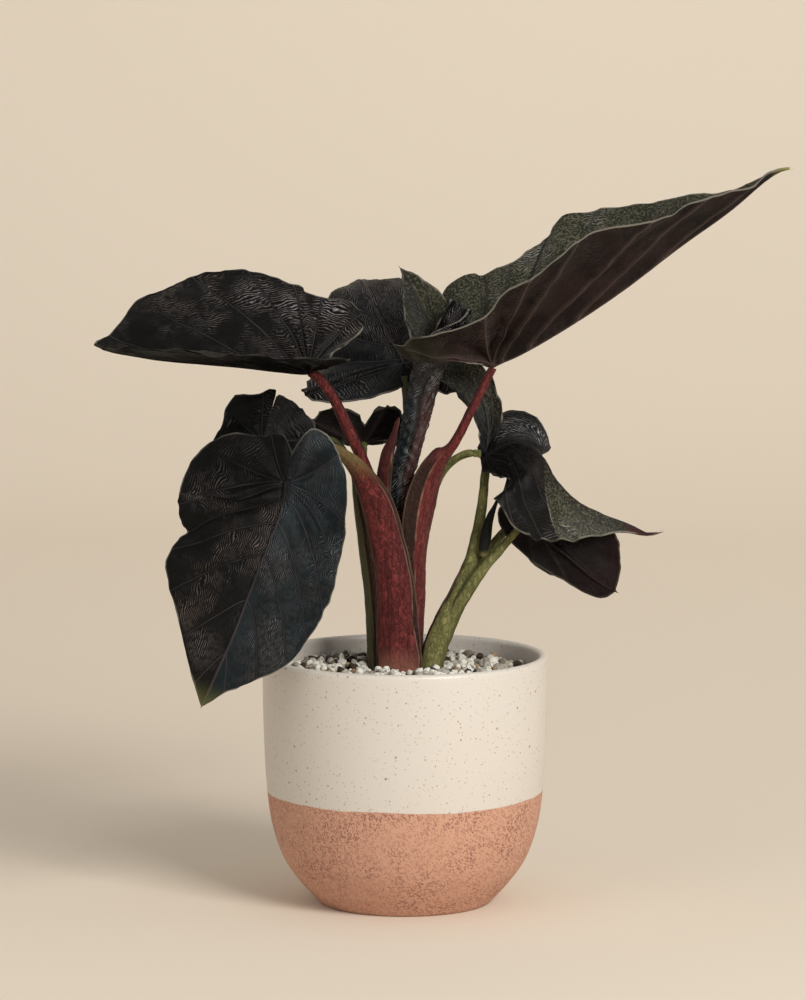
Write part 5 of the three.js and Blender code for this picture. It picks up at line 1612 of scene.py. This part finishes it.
class ALOCASIA_OT_filling(PieceOperator, bpy.types.Operator):
    """Fills the planter: soil, soil crumbs and the perlite grains on top."""

    bl_idname = "alocasia.filling"
    bl_label = "Filling"

    def execute(self, context):
        looks = context.scene.alocasia_filling
        draw = np.random.default_rng(11)
        soil = soil_skin(looks)
        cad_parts["potting_soil"].data.materials.clear()
        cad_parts["potting_soil"].data.materials.append(soil)
        shapes, faces = grain_shapes(draw, 14, 2)
        small_shapes, small_faces = grain_shapes(draw, 10, 1)
        white, tan, crumbs = Surface(), Surface(), Surface()
        edge = hollow_radius(SOIL_TOP_AT_WALL)
        top = PERLITE_BOX[1].z / MM

        def scatter(spacing, lowest, highest, lift, chosen, chosen_faces, pick):
            """Places grains on a shaken triangular grid, clear of the wall and the stalks."""
            rows = math.ceil(edge / (spacing * ROW_SHARE))
            for row in range(-rows, rows + 1):
                for column in range(-rows, rows + 1):
                    x = (column + (row % 2) / 2) * spacing + draw.uniform(-SHAKE, SHAKE) * spacing
                    y = row * spacing * ROW_SHARE + draw.uniform(-SHAKE, SHAKE) * spacing
                    size = draw.uniform(lowest, highest)
                    turn = Matrix.Rotation(draw.uniform(0, math.tau), 3, Vector(draw.normal(size=3)))
                    stretch = draw.uniform(0.75, 1.2, 3)
                    shape = chosen[draw.integers(len(chosen))]
                    tone, kind, up = draw.uniform(), draw.uniform(), draw.uniform(-0.8, 1.0)
                    radius = math.hypot(x, y)
                    if radius > edge - size / 2 or stalk_clearance(x, y) < size * 0.3:
                        continue
                    height = min(soil_height(radius) + lift + up, top - size * 0.4)
                    place = np.array([x, y, height])
                    points = (shape * stretch * size / 2) @ np.array(turn).T + place
                    target = pick(kind)
                    tone = min(max(tone**1.8 + 0.005 * y, 0), 1)
                    start = target.add_points(points, tone=tone)
                    corners = chosen_faces + start
                    target.add_faces(np.hstack([corners, corners[:, -1:]]))

        scatter(looks.spacing, looks.smallest, looks.largest, 2.6, shapes, faces,
                lambda kind: tan if kind < 0.07 else (crumbs if kind < 0.16 else white))
        scatter(looks.spacing * 0.55, 1.8, 3.8, 1.0, small_shapes, small_faces,
                lambda kind: crumbs if kind < 0.45 else (tan if kind < 0.6 else white))
        pale = perlite_skin("perlite_white", looks.white, looks.grey, looks.dust)
        tanned = perlite_skin("perlite_tan", looks.tan, looks.tan, looks.dust)
        for name, grains, skin, slot, nodes in (
            ("perlite_grains", white, pale, "perlite", ["perlite_top"]),
            ("tan_grains", tan, tanned, "perlite", []),
            ("soil_crumbs", crumbs, soil, "potting_soil", []),
        ):
            place_piece(grains.to_object(name, [skin], weld=False), nodes)
        return self.done()


def stalk_materials(looks):
    """The skins of the stalks and the bracts, made once."""
    if "red_stalk_skin" not in bpy.data.materials:
        for name, colours in STALK_SKINS.items():
            stalk_skin(f"{name}_skin", *(getattr(looks, key) for key in colours))
    return {name: bpy.data.materials[f"{name}_skin"] for name in STALK_SKINS}


class ALOCASIA_OT_stalks(PieceOperator, bpy.types.Operator):
    """Builds the sheathing stalks of the crown and of the offset."""

    bl_idname = "alocasia.stalks"
    bl_label = "Stalks"

    def execute(self, context):
        skins = stalk_materials(context.scene.alocasia_stalks)
        for name, stalk in STALKS.items():
            surface = Surface()
            add_stalk(surface, stalk, STALK_SIDES * (2 if "wings" in stalk else 1))
            piece = surface.to_object(f"{name}_skin", [skins[f"{stalk['skin']}_stalk"]], weld=False)
            place_piece(piece, [name])
        surface = Surface()
        for stalk in OFFSET_STALKS:
            add_stalk(surface, stalk)
        piece = surface.to_object("offset_stalks_skin", [skins["green_stalk"]], weld=False)
        place_piece(piece, ["offset_stalks"])
        return self.done()


class ALOCASIA_OT_bracts(PieceOperator, bpy.types.Operator):
    """Builds the pointed bract of the crown and the offset's dark spike."""

    bl_idname = "alocasia.bracts"
    bl_label = "Bracts"

    def execute(self, context):
        skins = stalk_materials(context.scene.alocasia_stalks)
        for name, (skin, slot) in {"crown_bract": (skins["bract"], "red_bract"),
                                   "offset_spike": (skins["dark_spike"], "velvet_leaf")}.items():
            surface = Surface()
            add_stalk(surface, BRACTS[name], 24)
            piece = surface.to_object(f"{name}_skin", [skin], weld=False)
            place_piece(piece, [name])
        return self.done()


class ALOCASIA_OT_newest_leaf(PieceOperator, bpy.types.Operator):
    """Rolls the newest leaf around its axis."""

    bl_idname = "alocasia.newest_leaf"
    bl_label = "Newest leaf"

    def execute(self, context):
        looks = context.scene.alocasia_foliage
        materials = [leaf_top("newest_leaf_skin", looks, looks.newest_gloss, 0.2),
                     blade_materials(looks)[1]]
        axis = catmull(NEWEST_LEAF["axis"])
        lengths = lengths_of(axis)
        rows, columns = 120, 110
        along = np.linspace(0, lengths[-1], rows + 1)
        centre = read_at(lengths, axis, along)
        forward = unit(np.gradient(centre, axis=0))
        side = unit(np.cross(forward, np.array([0.0, -1.0, 0.0])))
        front = np.cross(side, forward)
        share = np.linspace(0, 1, columns + 1)
        radius = eased(NEWEST_LEAF["radius"], along)[:, 0]
        turn = eased(NEWEST_LEAF["turn_length"], along)[:, 0]
        angle = np.radians(NEWEST_LEAF["turn_start"] + turn[:, None] * share)
        core = NEWEST_LEAF["core_share"]
        reach = radius[:, None] * (core + (1 - core) * share)
        out = (side[:, None] * np.cos(angle)[..., None] + front[:, None] * np.sin(angle)[..., None])
        points = centre[:, None] + out * reach[..., None]
        flat = np.stack([np.broadcast_to(along[:, None], angle.shape), angle * reach], -1)
        phase = (flat[..., 1] + 0.5 * flat[..., 0] + 0.9 * wander(flat, 5, 3)) / looks.rung_spacing
        rib = np.abs((flat[..., 0] * 0.7 + flat[..., 1] * 0.5) % 11 - 5.5)
        line = rungs(phase, 1.3)
        lumps = 0.5 * line + 0.45 * wander(flat, 3.5, 9)
        seam = out[..., 0] + 0.06 + 0.12 * wander(flat * [[[1, 0]]], 14, 4)
        lumps = lumps - bead(seam, 1.1, 0.16)
        margin = (1 - share)[None] * turn[:, None] * math.pi / 180 * radius[:, None]
        thickness = 0.35
        surface = Surface()
        # Painted blue sheen before the seam, painted highlights in patches and painted shade along the
        # seam
        values = {"rib": rib, "spine": rib * 0 + 9, "margin": margin,
                  "cool": (1 - smooth(seam, -0.3, 0.0)) * (1 - smooth(flat[..., 0], 50, 75)),
                  "maroon": 0.9 * smooth(seam, 0.05, 0.35) * (1 - smooth(flat[..., 0], 45, 75)),
                  "glint": np.clip(0.25 + 0.55 * wander(flat, 9, 31), 0, 1),
                  "shade": bead(seam, 1, 0.13)}
        outer = surface.add_points(points + out * (thickness + lumps)[..., None], **values)
        inner = surface.add_points(points - out * thickness, **values)
        count = columns + 1
        one, row = np.arange(rows)[:, None], np.arange(columns)[None]
        for start, slot, flip in ((outer, 0, False), (inner, 0, True)):
            a, b = start + one * count + row, start + (one + 1) * count + row
            corners = np.stack([a, a + 1, b + 1, b], -1)
            spots = np.stack([phase[:-1, :-1], phase[:-1, 1:], phase[1:, 1:], phase[1:, :-1]], -1)
            if flip:
                corners, spots = corners[..., ::-1], spots[..., ::-1]
            surface.add_faces(corners, slot, spots)
        long_side, short_side = np.arange(rows + 1) * count, np.arange(count)
        for line, flip in ((long_side, True), (long_side + columns, False), (short_side, False),
                           (short_side + rows * count, True)):
            high, low = outer + line, inner + line
            corners = np.stack([high[:-1], low[:-1], low[1:], high[1:]], -1)
            surface.add_faces(corners[:, ::-1] if flip else corners)
        piece = surface.to_object("newest_leaf_roll", materials, weld=False)
        place_piece(piece, ["newest_leaf"])
        return self.done()


class ALOCASIA_OT_stage(PieceOperator, bpy.types.Operator):
    """Sets up the backdrop, the lights and the camera."""

    bl_idname = "alocasia.stage"
    bl_label = "Stage"

    def execute(self, context):
        looks = context.scene.alocasia_stage
        self.add_backdrop(looks)
        self.add_lights(context.scene, looks)
        self.add_camera(context.scene, looks)
        context.scene.view_settings.view_transform = "Standard"
        return self.done()

    @staticmethod
    def add_backdrop(looks):
        """A floor that rises into a wall in one sweep."""
        width, front, back, rise, bend = BACKDROP
        curve = [(front, 0.0), (0.0, 0.0), (back - bend, 0.0)]
        for angle in np.linspace(0, math.pi / 2, 24)[1:]:
            curve.append((back - bend + bend * math.sin(angle), bend - bend * math.cos(angle)))
        curve.append((back, rise))
        points, faces = [], []
        for y, z in curve:
            points += [(-width, y, z), (width, y, z)]
        for k in range(len(curve) - 1):
            faces.append([2 * k, 2 * k + 1, 2 * k + 3, 2 * k + 2])
        mesh = bpy.data.meshes.new("backdrop")
        mesh.from_pydata(points, [], faces)
        mesh.polygons.foreach_set("use_smooth", [True] * len(faces))
        mesh.materials.append(stage_paint("backdrop_paint", looks.paint))
        backdrop = bpy.data.objects.new("backdrop", mesh)
        bpy.context.scene.collection.objects.link(backdrop)

    @staticmethod
    def add_lights(scene, looks):
        """A broad key from the upper right, a weak fill, a light on the wall and even room light."""
        world = bpy.data.worlds.new("room")
        world.use_nodes = True
        world.node_tree.nodes["Background"].inputs[0].default_value = (1.0, 0.99, 0.97, 1)
        world.node_tree.nodes["Background"].inputs[1].default_value = looks.sky
        scene.world = world
        for name, (place, target, size, tint) in LIGHTS.items():
            light = bpy.data.lights.new(name, "AREA")
            light.shape = "SQUARE"
            light.size = size
            light.energy = getattr(looks, f"{name}_power")
            light.color = tint
            lamp = bpy.data.objects.new(name, light)
            lamp.location = place
            lamp.rotation_mode = "QUATERNION"
            aim = Vector(target) - Vector(place)
            lamp.rotation_quaternion = aim.to_track_quat("-Z", "Y")
            scene.collection.objects.link(lamp)

    @staticmethod
    def add_camera(scene, looks):
        """The photograph's view: a long lens, a little above the rim."""
        data = bpy.data.cameras.new("camera")
        data.sensor_width = SENSOR
        data.lens = looks.focal_length
        camera = bpy.data.objects.new("camera", data)
        pitch = math.radians(looks.camera_pitch)
        camera.location = (CAMERA_ASIDE, -looks.camera_distance * math.cos(pitch),
                           looks.aim_height + looks.camera_distance * math.sin(pitch))
        camera.rotation_euler = (math.pi / 2 - pitch, 0, 0)
        scene.collection.objects.link(camera)
        scene.camera = camera


class ALOCASIA_PT_pieces(bpy.types.Panel):
    """Lists the pieces and their settings in the sidebar."""

    bl_label = "Potted alocasia"
    bl_idname = "ALOCASIA_PT_pieces"
    bl_space_type = "VIEW_3D"
    bl_region_type = "UI"
    bl_category = "Alocasia"

    def draw(self, context):
        for operator, settings in STEPS:
            self.layout.operator(operator.bl_idname)
            if settings:
                group = getattr(context.scene, settings)
                for key in group.__annotations__:
                    self.layout.prop(group, key)


GROUPS = {
    "alocasia_planter": PlanterSettings,
    "alocasia_filling": FillingSettings,
    "alocasia_foliage": FoliageSettings,
    "alocasia_stalks": StalkSettings,
    "alocasia_stage": StageSettings,
}
STEPS = [
    (ALOCASIA_OT_planter, "alocasia_planter"),
    (ALOCASIA_OT_filling, "alocasia_filling"),
    (ALOCASIA_OT_blades, "alocasia_foliage"),
    (ALOCASIA_OT_newest_leaf, None),
    (ALOCASIA_OT_stalks, "alocasia_stalks"),
    (ALOCASIA_OT_bracts, None),
    (ALOCASIA_OT_stage, "alocasia_stage"),
]
CLASSES = [*GROUPS.values(), *[operator for operator, _ in STEPS], ALOCASIA_PT_pieces]


def register():
    """Registers the classes and hangs the settings on the scene."""
    for item in CLASSES:
        bpy.utils.register_class(item)
    for name, group in GROUPS.items():
        setattr(bpy.types.Scene, name, bpy.props.PointerProperty(type=group))


def unregister():
    """Takes the settings and the classes away again."""
    for name in GROUPS:
        delattr(bpy.types.Scene, name)
    for item in reversed(CLASSES):
        bpy.utils.unregister_class(item)


def main():
    """Builds every piece in order."""
    register()
    vein_group()
    mottle_group()
    speck_group()
    for operator, _ in STEPS:
        module, name = operator.bl_idname.split(".")
        getattr(getattr(bpy.ops, module), name)()


if __name__ == "__main__":
    main()
